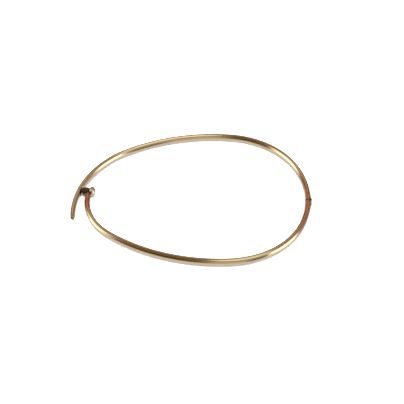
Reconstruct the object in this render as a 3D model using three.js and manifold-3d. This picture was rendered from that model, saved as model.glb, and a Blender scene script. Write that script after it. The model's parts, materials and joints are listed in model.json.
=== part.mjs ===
// Hinged crossover bangle of solid oval gold wire, with a spring-bolt catch.
//
// Plan view, +Z up, +X from the catch to the hinge, +Y to the rear arm:
//   rear half   wire arm that crosses outside the front arm's tip and runs on as a free tail
//   hinge       a butt joint with three stacked knuckles on its outer side and one riveted pin
//   front half  wire arm with a collar at its tip that carries the catch barrel
//   catch       a sprung bolt in the barrel, pulled inwards by a ball knob, with its nose in a
//               keeper let into the rear arm
// Sizes are in millimetres, angles in degrees.

import * as THREE from 'three';
import { mergeVertices } from 'three/addons/utils/BufferGeometryUtils.js';
import Module from 'manifold-3d';

const wasm = await Module();
wasm.setup();

const { degToRad } = THREE.MathUtils;

// ---------------------------------------------------------------- driving dimensions

// Centreline in plan: tangent arcs, alike on both halves from the hinge to the catch.
const HINGE_SPAN = { radius: 29.6, halfTurn: 24.5 };
const CORNER = { radius: 23.0, turn: 61.0 };
const FLANK = { radius: 48.5, turn: 40.5 };
const CLASP_BEND = { radius: 17.8, frontTurn: 54.0, rearTurn: 9.3 };
const TAIL = { radius: 29.2, turn: 55.0 };
const HINGE_ANGLE = -5.5; // where the halves part, measured on the hinge span

// Wire.
const WIRE = { radial: 1.6, height: 2.1 };
const TAIL_TIP = { radial: 1.36, height: 1.8, taperLength: 16, roundLength: 1.3 };
const SECTION_SIDES = 16;
const SWEEP_STEP = 2.0;

// Fits: what is soldered or pressed keeps SEAT_GAP, what turns or slides keeps RUNNING_GAP.
const SEAT_GAP = 0.03;
const RUNNING_GAP = 0.05;
const ROUND_SIDES = 24;

// Hinge. The axis stands outside the wire's centreline, so the halves butt on their inner side.
const FERRULE_LENGTH = 2.6;
const FERRULE_CHAMFER = 0.2;
const REAR_FERRULE = { radial: 1.7, height: 2.22, shift: 0.02 };
const FRONT_FERRULE = { radial: 1.9, height: 2.26, shift: 0.14 };
const SPIGOT = { radial: 1.0, height: 1.45, length: 0.9 };
const HINGE_AXIS_OFFSET = 0.5;
const KNUCKLE = { radius: 0.62, boreRadius: 0.33, centreHeight: 0.78, stackHeight: 2.4 };
const HINGE_PIN = { radius: 0.28, headRadius: 0.5, headHeight: 0.16 };

// Catch, on an axis along X through the front arm's tip. Stations are distances along X.
const BARREL = {
  radius: 1.05, noseEndRadius: 0.8, boreRadius: 0.72, lipThickness: 0.3, chamfer: 0.32,
  noseEnd: -33.65, knobEnd: -31.75, knobEndChamfer: 0.1,
};
const BUSH = { radius: BARREL.boreRadius - SEAT_GAP, thickness: 0.3, inset: 0.03 };
const BOLT = { noseRadius: 0.33, flangeRadius: 0.64, flangeThickness: 0.25, stemRadius: 0.24 };
const NOSE_TIP = -34.12;
const NOSE_DOME = 0.16;
const KNOB = { radius: 1.375, halfLength: 0.9, centre: -30.88, boreRadius: 0.27, boreDepth: 1.1 };
const SPRING = { wireRadius: 0.05, coilRadius: 0.45, turns: 3.5, endGap: 0.02 };
const COLLAR = { radial: 1.7, height: 2.18, spigotLength: 0.5, chamfer: 0.15 };
const COLLAR_NECK = { radial: 1.0, height: 1.5, shift: 0.12, distance: 1.2 };

// Keeper, let into a flat filed on the rear arm's inner side. Its groove is open towards the
// side the bolt's nose leaves by as the front arm swings out.
const KEEPER = { depth: 0.62, below: 0.75, above: 1.0, halfHeight: 0.62 };
const KEEPER_FLAT_X = -33.8;
const NOSE_GROOVE = { bottomX: -34.22, top: 0.42, lowerEnd: -3.4, halfHeight: 0.4 };

// ---------------------------------------------------------------- finishes

const FINISHES = {
  gold: { color: 0xd9a36c, metalness: 1.0, roughness: 0.18 },
  hingeGold: { color: 0xc08a5a, metalness: 1.0, roughness: 0.24 },
  pinGold: { color: 0xb58458, metalness: 1.0, roughness: 0.3 },
  knobGold: { color: 0xe3b27c, metalness: 1.0, roughness: 0.14 },
  catchGold: { color: 0x8a6a45, metalness: 1.0, roughness: 0.3 },
  springSteel: { color: 0x9a9a9c, metalness: 1.0, roughness: 0.35 },
};

// ---------------------------------------------------------------- geometry helpers

// A centreline of tangent arcs in plan, then straight on. side is +1 for the rear half and -1
// for its mirror image, the front half.
class ArcPath {
  constructor(startAngle, arcs, side) {
    this.side = side;
    this.pieces = [];
    let heading = degToRad(startAngle);
    let x = HINGE_SPAN.radius * Math.cos(heading);
    let y = HINGE_SPAN.radius * Math.sin(heading);
    let start = 0;
    for (const { radius, turn } of arcs) {
      const centreX = x - radius * Math.cos(heading);
      const centreY = y - radius * Math.sin(heading);
      const length = radius * degToRad(turn);
      this.pieces.push({ start, length, radius, centreX, centreY, heading });
      heading += degToRad(turn);
      x = centreX + radius * Math.cos(heading);
      y = centreY + radius * Math.sin(heading);
      start += length;
    }
    this.length = start;
  }

  // The point, the outward direction and the direction of travel at a distance along the path.
  at(distance) {
    const onArcs = Math.min(distance, this.length);
    const piece = this.pieces.findLast((candidate) => onArcs >= candidate.start) ?? this.pieces[0];
    const angle = piece.heading + (onArcs - piece.start) / piece.radius;
    const out = new THREE.Vector3(Math.cos(angle), Math.sin(angle) * this.side, 0);
    const along = new THREE.Vector3(-Math.sin(angle), Math.cos(angle) * this.side, 0);
    const centre = new THREE.Vector3(piece.centreX, piece.centreY * this.side, 0);
    const point = centre.addScaledVector(out, piece.radius).addScaledVector(along, distance - onArcs);
    return { point, out, along };
  }

  // Even stations between two distances, each with one section's sizes.
  stations(from, to, section) {
    const count = Math.max(1, Math.ceil((to - from) / SWEEP_STEP));
    return Array.from({ length: count + 1 }, (_, index) => {
      const distance = from + ((to - from) * index) / count;
      return { ...this.at(distance), ...section };
    });
  }
}

// Sweeps an oval through stations of { point, out, along, radial, height, shift } and closes
// both ends. Two stations at one place make a square shoulder.
function sweepOval(stations, sides = SECTION_SIDES) {
  const positions = [];
  const index = [];
  const up = new THREE.Vector3();
  for (const { point, out, along, radial, height, shift = 0 } of stations) {
    up.crossVectors(along, out);
    for (let side = 0; side < sides; side += 1) {
      const angle = (2 * Math.PI * side) / sides;
      const vertex = point.clone()
        .addScaledVector(out, shift + (radial / 2) * Math.cos(angle))
        .addScaledVector(up, (height / 2) * Math.sin(angle));
      positions.push(...vertex.toArray());
    }
  }
  for (let ring = 0; ring + 1 < stations.length; ring += 1) {
    for (let side = 0; side < sides; side += 1) {
      const next = (side + 1) % sides;
      const here = ring * sides;
      const there = here + sides;
      index.push(here + side, here + next, there + side);
      index.push(here + next, there + next, there + side);
    }
  }
  const last = (stations.length - 1) * sides;
  for (let side = 1; side + 1 < sides; side += 1) {
    index.push(0, side + 1, side);
    index.push(last, last + side, last + side + 1);
  }
  const geometry = new THREE.BufferGeometry();
  geometry.setAttribute('position', new THREE.Float32BufferAttribute(positions, 3));
  geometry.setIndex(index);
  return geometry;
}

// Turns a closed outline of [radius, distance] points about the Y axis, counter-clockwise in
// that plane, then lays that axis along X or stands it along Z.
function turned(outline, axis) {
  const points = outline.map(([radius, distance]) => new THREE.Vector2(radius, distance));
  const geometry = new THREE.LatheGeometry(points, ROUND_SIDES);
  return axis === 'x' ? geometry.rotateZ(-Math.PI / 2) : geometry.rotateX(Math.PI / 2);
}

function tube(outerRadius, innerRadius, from, to, axis) {
  const outline = [[innerRadius, from], [outerRadius, from], [outerRadius, to], [innerRadius, to]];
  return turned([...outline, outline[0]], axis);
}

function rod(radius, from, to, axis) {
  return turned([[0, from], [radius, from], [radius, to], [0, to]], axis);
}

function block(low, high) {
  const size = high.map((value, index) => value - low[index]);
  const centre = high.map((value, index) => (value + low[index]) / 2);
  return new THREE.BoxGeometry(...size).translate(...centre);
}

// A geometry as a solid that can be cut, with each shared corner held once.
function solid(geometry) {
  const bare = new THREE.BufferGeometry();
  bare.setAttribute('position', geometry.getAttribute('position'));
  bare.setIndex(geometry.getIndex());
  const merged = mergeVertices(bare, 1e-5);
  return new wasm.Manifold(new wasm.Mesh({
    numProp: 3,
    vertProperties: merged.getAttribute('position').array,
    triVerts: Uint32Array.from(merged.getIndex().array),
  }));
}

function cutGeometry(cutSolid) {
  const mesh = cutSolid.getMesh();
  const geometry = new THREE.BufferGeometry();
  geometry.setAttribute('position', new THREE.BufferAttribute(mesh.vertProperties, 3));
  geometry.setIndex(new THREE.BufferAttribute(mesh.triVerts, 1));
  return geometry;
}

function piece(name, geometry, finish) {
  geometry.computeVertexNormals();
  const mesh = new THREE.Mesh(geometry, new THREE.MeshStandardMaterial(FINISHES[finish]));
  mesh.name = name;
  return mesh;
}

function grown(section, gap) {
  return { ...section, radial: section.radial + 2 * gap, height: section.height + 2 * gap };
}

// ---------------------------------------------------------------- paths and shared places

const rearPath = new ArcPath(HINGE_ANGLE, [
  { radius: HINGE_SPAN.radius, turn: HINGE_SPAN.halfTurn - HINGE_ANGLE },
  CORNER,
  FLANK,
  { radius: CLASP_BEND.radius, turn: CLASP_BEND.rearTurn },
  TAIL,
], 1);

const frontPath = new ArcPath(-HINGE_ANGLE, [
  { radius: HINGE_SPAN.radius, turn: HINGE_SPAN.halfTurn + HINGE_ANGLE },
  CORNER,
  FLANK,
  { radius: CLASP_BEND.radius, turn: CLASP_BEND.frontTurn },
], -1);

const hingeJoint = rearPath.at(0);
const hingeAxis = hingeJoint.point.clone().addScaledVector(hingeJoint.out, HINGE_AXIS_OFFSET);
const wireStart = FERRULE_LENGTH + SEAT_GAP;

// ---------------------------------------------------------------- wire arms

// The end that goes into a ferrule: a spigot, then a square shoulder up to the full wire.
function spigotStations(path, shoulder, length) {
  return path.stations(shoulder - length, shoulder, { radial: SPIGOT.radial, height: SPIGOT.height });
}

// The rear arm's wire thins along the tail and rounds off at its tip, mostly on the inner side.
function tailStations(path, from) {
  const roundStart = path.length - TAIL_TIP.roundLength;
  const taperStart = roundStart - TAIL_TIP.taperLength;
  const stations = path.stations(from, taperStart, WIRE);
  const taperSteps = 8;
  for (let step = 1; step <= taperSteps; step += 1) {
    const share = step / taperSteps;
    stations.push({
      ...path.at(taperStart + share * TAIL_TIP.taperLength),
      radial: THREE.MathUtils.lerp(WIRE.radial, TAIL_TIP.radial, share),
      height: THREE.MathUtils.lerp(WIRE.height, TAIL_TIP.height, share),
    });
  }
  for (const share of [0.35, 0.65, 0.88, 1]) {
    const scale = Math.sqrt(1 - (0.9 * share) ** 2);
    stations.push({
      ...path.at(roundStart + share * TAIL_TIP.roundLength),
      radial: TAIL_TIP.radial * scale,
      height: TAIL_TIP.height * scale,
      shift: 0.25 * TAIL_TIP.radial * (1 - scale),
    });
  }
  return stations;
}

const rearArmBlank = solid(sweepOval([
  ...spigotStations(rearPath, wireStart, SPIGOT.length),
  ...tailStations(rearPath, wireStart),
]));

const keeperPocket = solid(block(
  [KEEPER_FLAT_X - KEEPER.depth - SEAT_GAP, -KEEPER.below - SEAT_GAP, -KEEPER.halfHeight - SEAT_GAP],
  [KEEPER_FLAT_X + 1, KEEPER.above + SEAT_GAP, KEEPER.halfHeight + SEAT_GAP],
));
const keeperBlock = solid(block(
  [KEEPER_FLAT_X - KEEPER.depth, -KEEPER.below, -KEEPER.halfHeight],
  [KEEPER_FLAT_X, KEEPER.above, KEEPER.halfHeight],
));
const armFlat = solid(block([KEEPER_FLAT_X, -2.2, -2], [KEEPER_FLAT_X + 1.2, 1.9, 2]));
const noseGroove = solid(block(
  [NOSE_GROOVE.bottomX, NOSE_GROOVE.lowerEnd, -NOSE_GROOVE.halfHeight],
  [KEEPER_FLAT_X + 1, NOSE_GROOVE.top, NOSE_GROOVE.halfHeight],
));

function rearArm() {
  const cut = rearArmBlank.subtract(armFlat).subtract(keeperPocket).subtract(noseGroove);
  return piece('rear_arm', cutGeometry(cut), 'gold');
}

function keeperPlate() {
  const cut = keeperBlock.intersect(rearArmBlank).subtract(noseGroove);
  return piece('keeper_plate', cutGeometry(cut), 'catchGold');
}

function frontArm() {
  const collarShoulder = frontPath.length;
  const geometry = sweepOval([
    ...spigotStations(frontPath, wireStart, SPIGOT.length),
    ...frontPath.stations(wireStart, collarShoulder, WIRE),
    ...frontPath.stations(collarShoulder, collarShoulder + COLLAR.spigotLength, SPIGOT),
  ]);
  return piece('front_arm', geometry, 'gold');
}

// ---------------------------------------------------------------- hinge

// A ferrule: a short oval block with a chamfered mouth, a socket for the wire's spigot and an
// upright channel for the knuckles.
function hingeFerrule(name, path, section) {
  const mouth = FERRULE_LENGTH - FERRULE_CHAMFER;
  const mouthSection = { ...section, radial: section.radial - 0.2, height: section.height - 0.2 };
  const body = solid(sweepOval([
    ...path.stations(SEAT_GAP / 2, mouth, section),
    ...path.stations(FERRULE_LENGTH, FERRULE_LENGTH + 0.001, mouthSection).slice(0, 1),
  ]));
  const socketStart = wireStart - SPIGOT.length - SEAT_GAP;
  const socket = solid(sweepOval(path.stations(socketStart, wireStart + 1, grown(SPIGOT, SEAT_GAP))));
  const channelRadius = KNUCKLE.radius + RUNNING_GAP;
  const channel = solid(
    rod(channelRadius, -section.height, section.height, 'z').translate(hingeAxis.x, hingeAxis.y, 0),
  );
  return piece(name, cutGeometry(body.subtract(socket).subtract(channel)), 'hingeGold');
}

function knuckle(name, from, to) {
  const geometry = tube(KNUCKLE.radius, KNUCKLE.boreRadius, from, to, 'z');
  return piece(name, geometry.translate(hingeAxis.x, hingeAxis.y, 0), 'hingeGold');
}

// The pin is riveted over at both ends, and the bangle rests on its lower head.
function hingePin() {
  const headInner = KNUCKLE.stackHeight / 2 + SEAT_GAP / 2;
  const headOuter = headInner + HINGE_PIN.headHeight;
  const rim = HINGE_PIN.headRadius;
  const flat = rim - 0.08;
  const geometry = turned([
    [0, -headOuter], [flat, -headOuter], [rim, -headOuter + 0.08], [rim, -headInner],
    [HINGE_PIN.radius, -headInner], [HINGE_PIN.radius, headInner],
    [rim, headInner], [rim, headOuter - 0.08], [flat, headOuter], [0, headOuter],
  ], 'z');
  return piece('hinge_pin', geometry.translate(hingeAxis.x, hingeAxis.y, 0), 'pinGold');
}

function hingePieces() {
  const centreTop = KNUCKLE.centreHeight / 2;
  const stackTop = KNUCKLE.stackHeight / 2;
  return {
    rear: [
      hingeFerrule('rear_hinge_ferrule', rearPath, REAR_FERRULE),
      knuckle('rear_knuckle_upper', centreTop + RUNNING_GAP / 2, stackTop),
      knuckle('rear_knuckle_lower', -stackTop, -centreTop - RUNNING_GAP / 2),
      hingePin(),
    ],
    front: [
      hingeFerrule('front_hinge_ferrule', frontPath, FRONT_FERRULE),
      knuckle('front_knuckle', -centreTop + RUNNING_GAP / 2, centreTop - RUNNING_GAP / 2),
    ],
  };
}

// ---------------------------------------------------------------- catch

// Outline of the ball knob's flattened ball, from the barrel's side to the far pole.
function knobOutline(radius, halfLength) {
  const outline = [];
  const steps = 10;
  for (let step = 0; step <= steps; step += 1) {
    const angle = THREE.MathUtils.lerp(0.14 * Math.PI, Math.PI, step / steps);
    const share = Math.max(0, Math.sin(angle));
    outline.push([step === steps ? 0 : radius * share, KNOB.centre - halfLength * Math.cos(angle)]);
  }
  return outline;
}

function pullKnob() {
  const outline = knobOutline(KNOB.radius, KNOB.halfLength);
  const face = outline[0][1];
  const geometry = turned([
    [0, face + KNOB.boreDepth], [KNOB.boreRadius, face + KNOB.boreDepth], [KNOB.boreRadius, face],
    ...outline,
  ], 'x');
  return piece('pull_knob', geometry, 'knobGold');
}

// Collar at the front arm's tip: it narrows to a neck with a saddle for the barrel, and is
// relieved where the knob sits.
function tipCollar() {
  const start = frontPath.length + SEAT_GAP;
  const mouth = { ...COLLAR, radial: COLLAR.radial - 0.16, height: COLLAR.height - 0.16 };
  const body = solid(sweepOval([
    { ...frontPath.at(start), ...mouth },
    { ...frontPath.at(start + COLLAR.chamfer), ...COLLAR },
    { ...frontPath.at(start + COLLAR_NECK.distance), ...COLLAR_NECK },
    { ...frontPath.at(start + 2), ...COLLAR_NECK },
  ]));
  const socketEnd = frontPath.length + COLLAR.spigotLength + SEAT_GAP;
  const socket = solid(sweepOval(frontPath.stations(start - 1, socketEnd, grown(SPIGOT, SEAT_GAP))));
  const saddle = solid(rod(BARREL.radius + SEAT_GAP, BARREL.noseEnd - 1, BARREL.knobEnd + 3, 'x'));
  const beyondBarrel = solid(block([-40, 0, -2], [-25, 4, 2]));
  const clearance = 0.12;
  const knobRoom = solid(turned([
    [0, BARREL.knobEnd], ...knobOutline(KNOB.radius + clearance, KNOB.halfLength + clearance),
  ], 'x'));
  const cut = body.subtract(beyondBarrel).subtract(socket).subtract(saddle).subtract(knobRoom);
  return piece('tip_collar', cutGeometry(cut), 'gold');
}

function boltBarrel() {
  const bore = BARREL.boreRadius;
  const nosePassage = BOLT.noseRadius + RUNNING_GAP;
  const lipInner = BARREL.noseEnd + BARREL.lipThickness;
  const outline = [
    [nosePassage, BARREL.noseEnd],
    [BARREL.noseEndRadius, BARREL.noseEnd],
    [BARREL.radius, BARREL.noseEnd + BARREL.chamfer],
    [BARREL.radius, BARREL.knobEnd - BARREL.knobEndChamfer],
    [BARREL.radius - BARREL.knobEndChamfer, BARREL.knobEnd],
    [bore, BARREL.knobEnd],
    [bore, lipInner],
    [nosePassage, lipInner],
  ];
  return piece('bolt_barrel', turned([...outline, outline[0]], 'x'), 'catchGold');
}

const bushOuterFace = BARREL.knobEnd - BUSH.inset;
const bushInnerFace = bushOuterFace - BUSH.thickness;
const flangeNoseFace = BARREL.noseEnd + BARREL.lipThickness + SEAT_GAP;
const flangeSpringFace = flangeNoseFace + BOLT.flangeThickness;

function barrelBush() {
  const passage = BOLT.stemRadius + RUNNING_GAP;
  return piece('barrel_bush', tube(BUSH.radius, passage, bushInnerFace, bushOuterFace, 'x'), 'catchGold');
}

function boltPin() {
  const knobFace = knobOutline(KNOB.radius, KNOB.halfLength)[0][1];
  const stemEnd = knobFace + KNOB.boreDepth - SEAT_GAP;
  const geometry = turned([
    [0, NOSE_TIP],
    [0.6 * BOLT.noseRadius, NOSE_TIP + 0.25 * NOSE_DOME],
    [BOLT.noseRadius, NOSE_TIP + NOSE_DOME],
    [BOLT.noseRadius, flangeNoseFace],
    [BOLT.flangeRadius, flangeNoseFace],
    [BOLT.flangeRadius, flangeSpringFace],
    [BOLT.stemRadius, flangeSpringFace],
    [BOLT.stemRadius, stemEnd],
    [0, stemEnd],
  ], 'x');
  return piece('bolt_pin', geometry, 'pinGold');
}

// A coil about the X axis, between the bolt's flange and the bush.
function catchSpring() {
  const margin = SPRING.endGap + SPRING.wireRadius;
  const from = flangeSpringFace + margin;
  const length = bushInnerFace - margin - from;
  const steps = Math.round(SPRING.turns * 12);
  const stations = Array.from({ length: steps + 1 }, (_, step) => {
    const angle = (2 * Math.PI * SPRING.turns * step) / steps;
    const out = new THREE.Vector3(0, Math.cos(angle), Math.sin(angle));
    const rise = length / (2 * Math.PI * SPRING.turns * SPRING.coilRadius);
    const along = new THREE.Vector3(rise, -Math.sin(angle), Math.cos(angle)).normalize();
    const point = out.clone().multiplyScalar(SPRING.coilRadius);
    point.x = from + (length * step) / steps;
    return { point, out, along, radial: 2 * SPRING.wireRadius, height: 2 * SPRING.wireRadius };
  });
  return piece('catch_spring', sweepOval(stations, 8), 'springSteel');
}

// ---------------------------------------------------------------- assembly

const hinge = hingePieces();

const rearHalf = new THREE.Group();
rearHalf.add(rearArm(), ...hinge.rear, keeperPlate());

const bolt = new THREE.Group();
bolt.add(boltPin(), pullKnob(), catchSpring());

const frontHalf = new THREE.Group();
frontHalf.add(frontArm(), ...hinge.front, tipCollar(), boltBarrel(), barrelBush(), bolt);

// The origin is the centre of the base that the bangle lies on.
const bangle = new THREE.Group();
bangle.add(rearHalf, frontHalf);
const bounds = new THREE.Box3().setFromObject(bangle);
const centre = bounds.getCenter(new THREE.Vector3());
bangle.position.set(-centre.x, -centre.y, -bounds.min.z);

export default bangle;
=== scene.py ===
"""Looks of a hinged crossover bangle: smooth gold wires, hinge, catch, finishes, light and camera."""

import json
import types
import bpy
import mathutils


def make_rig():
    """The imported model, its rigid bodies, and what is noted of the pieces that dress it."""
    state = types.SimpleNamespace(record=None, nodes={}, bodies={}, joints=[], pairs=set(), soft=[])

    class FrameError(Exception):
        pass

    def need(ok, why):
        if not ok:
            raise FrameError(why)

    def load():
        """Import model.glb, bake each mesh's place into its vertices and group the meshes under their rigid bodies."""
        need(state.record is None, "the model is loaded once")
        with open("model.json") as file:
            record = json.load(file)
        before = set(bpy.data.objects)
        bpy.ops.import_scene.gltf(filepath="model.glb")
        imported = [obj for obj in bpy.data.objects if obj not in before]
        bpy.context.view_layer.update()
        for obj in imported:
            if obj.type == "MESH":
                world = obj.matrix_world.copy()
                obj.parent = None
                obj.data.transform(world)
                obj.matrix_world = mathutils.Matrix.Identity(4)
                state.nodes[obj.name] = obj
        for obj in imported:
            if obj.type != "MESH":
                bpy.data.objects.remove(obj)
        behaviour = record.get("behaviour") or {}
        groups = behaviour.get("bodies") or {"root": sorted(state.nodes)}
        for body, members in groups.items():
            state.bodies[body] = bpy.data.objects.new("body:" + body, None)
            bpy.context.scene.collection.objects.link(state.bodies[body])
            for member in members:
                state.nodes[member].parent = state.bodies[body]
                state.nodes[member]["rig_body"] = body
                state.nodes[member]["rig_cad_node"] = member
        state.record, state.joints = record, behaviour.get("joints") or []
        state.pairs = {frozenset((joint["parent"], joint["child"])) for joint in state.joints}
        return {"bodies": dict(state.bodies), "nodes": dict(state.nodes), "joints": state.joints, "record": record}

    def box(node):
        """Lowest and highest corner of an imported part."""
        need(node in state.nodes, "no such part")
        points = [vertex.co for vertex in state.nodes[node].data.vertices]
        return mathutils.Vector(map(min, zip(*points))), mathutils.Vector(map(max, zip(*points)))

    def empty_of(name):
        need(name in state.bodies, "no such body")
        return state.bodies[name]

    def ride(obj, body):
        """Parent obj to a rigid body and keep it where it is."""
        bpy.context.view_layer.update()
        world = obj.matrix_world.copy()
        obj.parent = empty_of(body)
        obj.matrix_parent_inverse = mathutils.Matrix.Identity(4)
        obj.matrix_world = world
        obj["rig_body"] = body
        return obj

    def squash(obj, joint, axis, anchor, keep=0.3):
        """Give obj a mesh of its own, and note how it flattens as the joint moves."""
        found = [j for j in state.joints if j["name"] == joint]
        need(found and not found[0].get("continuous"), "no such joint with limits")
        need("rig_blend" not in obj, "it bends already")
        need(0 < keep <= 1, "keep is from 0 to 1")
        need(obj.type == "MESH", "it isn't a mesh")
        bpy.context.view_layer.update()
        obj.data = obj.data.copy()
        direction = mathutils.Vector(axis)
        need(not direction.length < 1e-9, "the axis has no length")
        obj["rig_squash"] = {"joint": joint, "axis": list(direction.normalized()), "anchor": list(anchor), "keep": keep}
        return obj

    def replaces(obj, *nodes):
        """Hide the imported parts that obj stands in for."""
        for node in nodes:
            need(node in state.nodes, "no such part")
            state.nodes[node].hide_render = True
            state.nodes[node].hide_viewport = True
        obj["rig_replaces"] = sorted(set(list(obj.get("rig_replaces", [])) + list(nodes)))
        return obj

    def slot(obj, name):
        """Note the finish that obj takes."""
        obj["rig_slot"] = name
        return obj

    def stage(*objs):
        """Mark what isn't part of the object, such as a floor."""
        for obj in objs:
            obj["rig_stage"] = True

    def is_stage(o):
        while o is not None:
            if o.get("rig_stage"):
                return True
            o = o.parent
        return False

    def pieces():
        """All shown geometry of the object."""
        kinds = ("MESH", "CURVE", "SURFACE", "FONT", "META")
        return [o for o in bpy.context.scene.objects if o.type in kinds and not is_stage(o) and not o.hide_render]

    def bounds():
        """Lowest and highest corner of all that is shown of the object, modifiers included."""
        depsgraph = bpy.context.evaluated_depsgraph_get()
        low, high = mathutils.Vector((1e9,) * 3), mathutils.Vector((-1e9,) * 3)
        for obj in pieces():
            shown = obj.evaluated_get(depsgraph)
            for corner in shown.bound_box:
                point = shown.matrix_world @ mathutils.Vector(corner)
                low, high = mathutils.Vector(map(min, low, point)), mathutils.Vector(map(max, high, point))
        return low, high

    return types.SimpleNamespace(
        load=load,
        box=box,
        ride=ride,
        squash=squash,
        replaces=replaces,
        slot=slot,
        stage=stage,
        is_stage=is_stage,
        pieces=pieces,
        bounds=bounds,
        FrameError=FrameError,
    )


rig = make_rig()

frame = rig.load()

import json
import logging
import math
from dataclasses import dataclass, field, replace
from enum import Enum
from typing import Iterable, Sequence

import bpy
import numpy as np
from mathutils import Vector, noise

CAD_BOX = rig.bounds()
SIZE_FILE = "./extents.json"
MM = 0.001
DEGREES = 180.0 / math.pi
DIRT_AND_SHADE_MASK = "grime"
HEAT = "solder_heat"
REAR_HALF = "rear_half"
FRONT_HALF = "front_half"
BOLT = "bolt"
Z_AXIS = Vector((0.0, 0.0, 1.0))
X_AXIS = Vector((1.0, 0.0, 0.0))
SHARP_ANGLE = math.radians(38.0)
SOFT_ANGLE = math.radians(32.0)
SOFT_SEGMENTS = 3
CORNER_POINTS = 5
CORNER_SHARE = 0.45
ROUND_RINGS = 7
CHANNEL_RINGS = 18
TAPER_RINGS = 12
FINE_SEGMENTS = 128

Colour = tuple[float, float, float]
Outline = Sequence[tuple[float, float]]
Face = tuple[int, ...]

log = logging.getLogger("bangle")


# ---------------------------------------------------------------- shader arithmetic


class Value:
    """A number socket of a shader tree that takes part in Python arithmetic."""

    def __init__(self, kit: "ShaderKit", socket: bpy.types.NodeSocket) -> None:
        self.kit = kit
        self.socket = socket

    def _math(self, operation: str, first: object, second: object, third: float = 0.0) -> "Value":
        """The result of a Math node on up to three operands."""
        node = self.kit.node("ShaderNodeMath", {"operation": operation}, {0: first, 1: second, 2: third})
        return Value(self.kit, node.outputs[0])

    def __add__(self, other: object) -> "Value":
        """self + other."""
        return self._math("ADD", self, other)

    def __radd__(self, other: object) -> "Value":
        """other + self."""
        return self._math("ADD", other, self)

    def __sub__(self, other: object) -> "Value":
        """self - other."""
        return self._math("SUBTRACT", self, other)

    def __rsub__(self, other: object) -> "Value":
        """other - self."""
        return self._math("SUBTRACT", other, self)

    def __mul__(self, other: object) -> "Value":
        """self * other."""
        return self._math("MULTIPLY", self, other)

    def __rmul__(self, other: object) -> "Value":
        """other * self."""
        return self._math("MULTIPLY", other, self)

    def __abs__(self) -> "Value":
        """abs(self)."""
        return self._math("ABSOLUTE", self, 0.0)

    def at_least(self, floor: float) -> "Value":
        """The larger of this and a number."""
        return self._math("MAXIMUM", self, floor)

    def at_most(self, ceiling: float) -> "Value":
        """The smaller of this and a number."""
        return self._math("MINIMUM", self, ceiling)

    def within_unit(self) -> "Value":
        """This value held between 0 and 1."""
        return self.at_least(0.0).at_most(1.0)

    def eased(self) -> "Value":
        """This value, between 0 and 1, with a slow start and a slow end."""
        return self * self * (3.0 - 2.0 * self)

    def heading(self, forward: "Value") -> "Value":
        """The angle in degrees from forward to this sideways component."""
        return self._math("ARCTAN2", self, forward) * DEGREES

    def rise(self) -> "Value":
        """The angle in degrees whose sine this is."""
        return self._math("ARCSINE", self, 0.0) * DEGREES

    def wrapped(self, limit: float) -> "Value":
        """This angle brought between minus and plus a limit."""
        return self._math("WRAP", self, limit, -limit)


class ShaderKit:
    """Makes and links the nodes of one shader tree."""

    def __init__(self, tree: bpy.types.NodeTree) -> None:
        """Takes a tree to fill, and empties it."""
        self.tree = tree
        tree.nodes.clear()

    def node(self, kind: str, settings: dict | None = None, inputs: dict | None = None) -> bpy.types.Node:
        """Adds a node.

        Args:
            kind: the node's type name.
            settings: attributes to set before its sockets, or a ramp's "stops".
            inputs: socket name or number to a value, a Value or an output socket.

        Returns:
            The new node.
        """
        made = self.tree.nodes.new(kind)
        for name, value in (settings or {}).items():
            if name == "stops":
                self._set_stops(made.color_ramp, value)
            else:
                setattr(made, name, value)
        for name, value in (inputs or {}).items():
            source = value.socket if isinstance(value, Value) else value
            if isinstance(source, bpy.types.NodeSocket):
                self.tree.links.new(source, made.inputs[name])
            else:
                made.inputs[name].default_value = source
        return made

    def _set_stops(self, ramp: bpy.types.ColorRamp, stops: Sequence[tuple[float, Colour]]) -> None:
        """Sets a ramp's stops.

        Args:
            ramp: the ramp to set.
            stops: position and colour pairs, in order.
        """
        while len(ramp.elements) < len(stops):
            ramp.elements.new(1.0)
        for element, (position, colour) in zip(ramp.elements, stops):
            element.position = position
            element.color = (*colour, 1.0)

    def stored(self, name: str) -> Value:
        """A number kept on the mesh's points under a name."""
        return Value(self, self.node("ShaderNodeAttribute", {"attribute_name": name}).outputs["Fac"])

    def noise(self, vector: bpy.types.NodeSocket, scale: float, detail: float) -> Value:
        """Noise from 0 to 1, with a number of cells for each unit of the vector and of octaves."""
        made = self.node("ShaderNodeTexNoise", {}, {"Vector": vector, "Scale": scale, "Detail": detail})
        return Value(self, made.outputs[0])

    def stretched(
        self, vector: bpy.types.NodeSocket, scale: Sequence[float], turn: float,
    ) -> bpy.types.NodeSocket:
        """A vector turned about its third axis, then scaled apart on its axes.

        Args:
            vector: the vector.
            scale: three factors.
            turn: angle in degrees.

        Returns:
            The mapped vector.
        """
        rotation = (0.0, 0.0, math.radians(turn))
        turned = self.node("ShaderNodeMapping", {}, {"Vector": vector, "Rotation": rotation})
        made = self.node("ShaderNodeMapping", {}, {"Vector": turned.outputs[0], "Scale": scale})
        return made.outputs[0]

    def mix(self, factor: object, first: object, second: object) -> bpy.types.NodeSocket:
        """The colour that is a factor of the way from the first colour to the second."""
        settings = {"data_type": "RGBA", "blend_type": "MIX"}
        return self.node("ShaderNodeMix", settings, {0: factor, 6: first, 7: second}).outputs[2]

    def metal(
        self, colour: bpy.types.NodeSocket, roughness: Value, relief: Value, strength: float, depth: float,
    ) -> None:
        """Ends the tree in a metal surface.

        Args:
            colour: its colour.
            roughness: its roughness.
            relief: the form of its fine lines.
            strength: how strongly the relief shows.
            depth: how deep the relief is, in metres.
        """
        bump = self.node("ShaderNodeBump", {}, {"Strength": strength, "Distance": depth, "Height": relief})
        shader = self.node("ShaderNodeBsdfPrincipled", {}, {
            "Base Color": colour,
            "Metallic": 1.0,
            "Roughness": roughness,
            "Normal": bump.outputs[0],
        })
        self.node("ShaderNodeOutputMaterial", {}, {"Surface": shader.outputs[0]})


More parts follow.
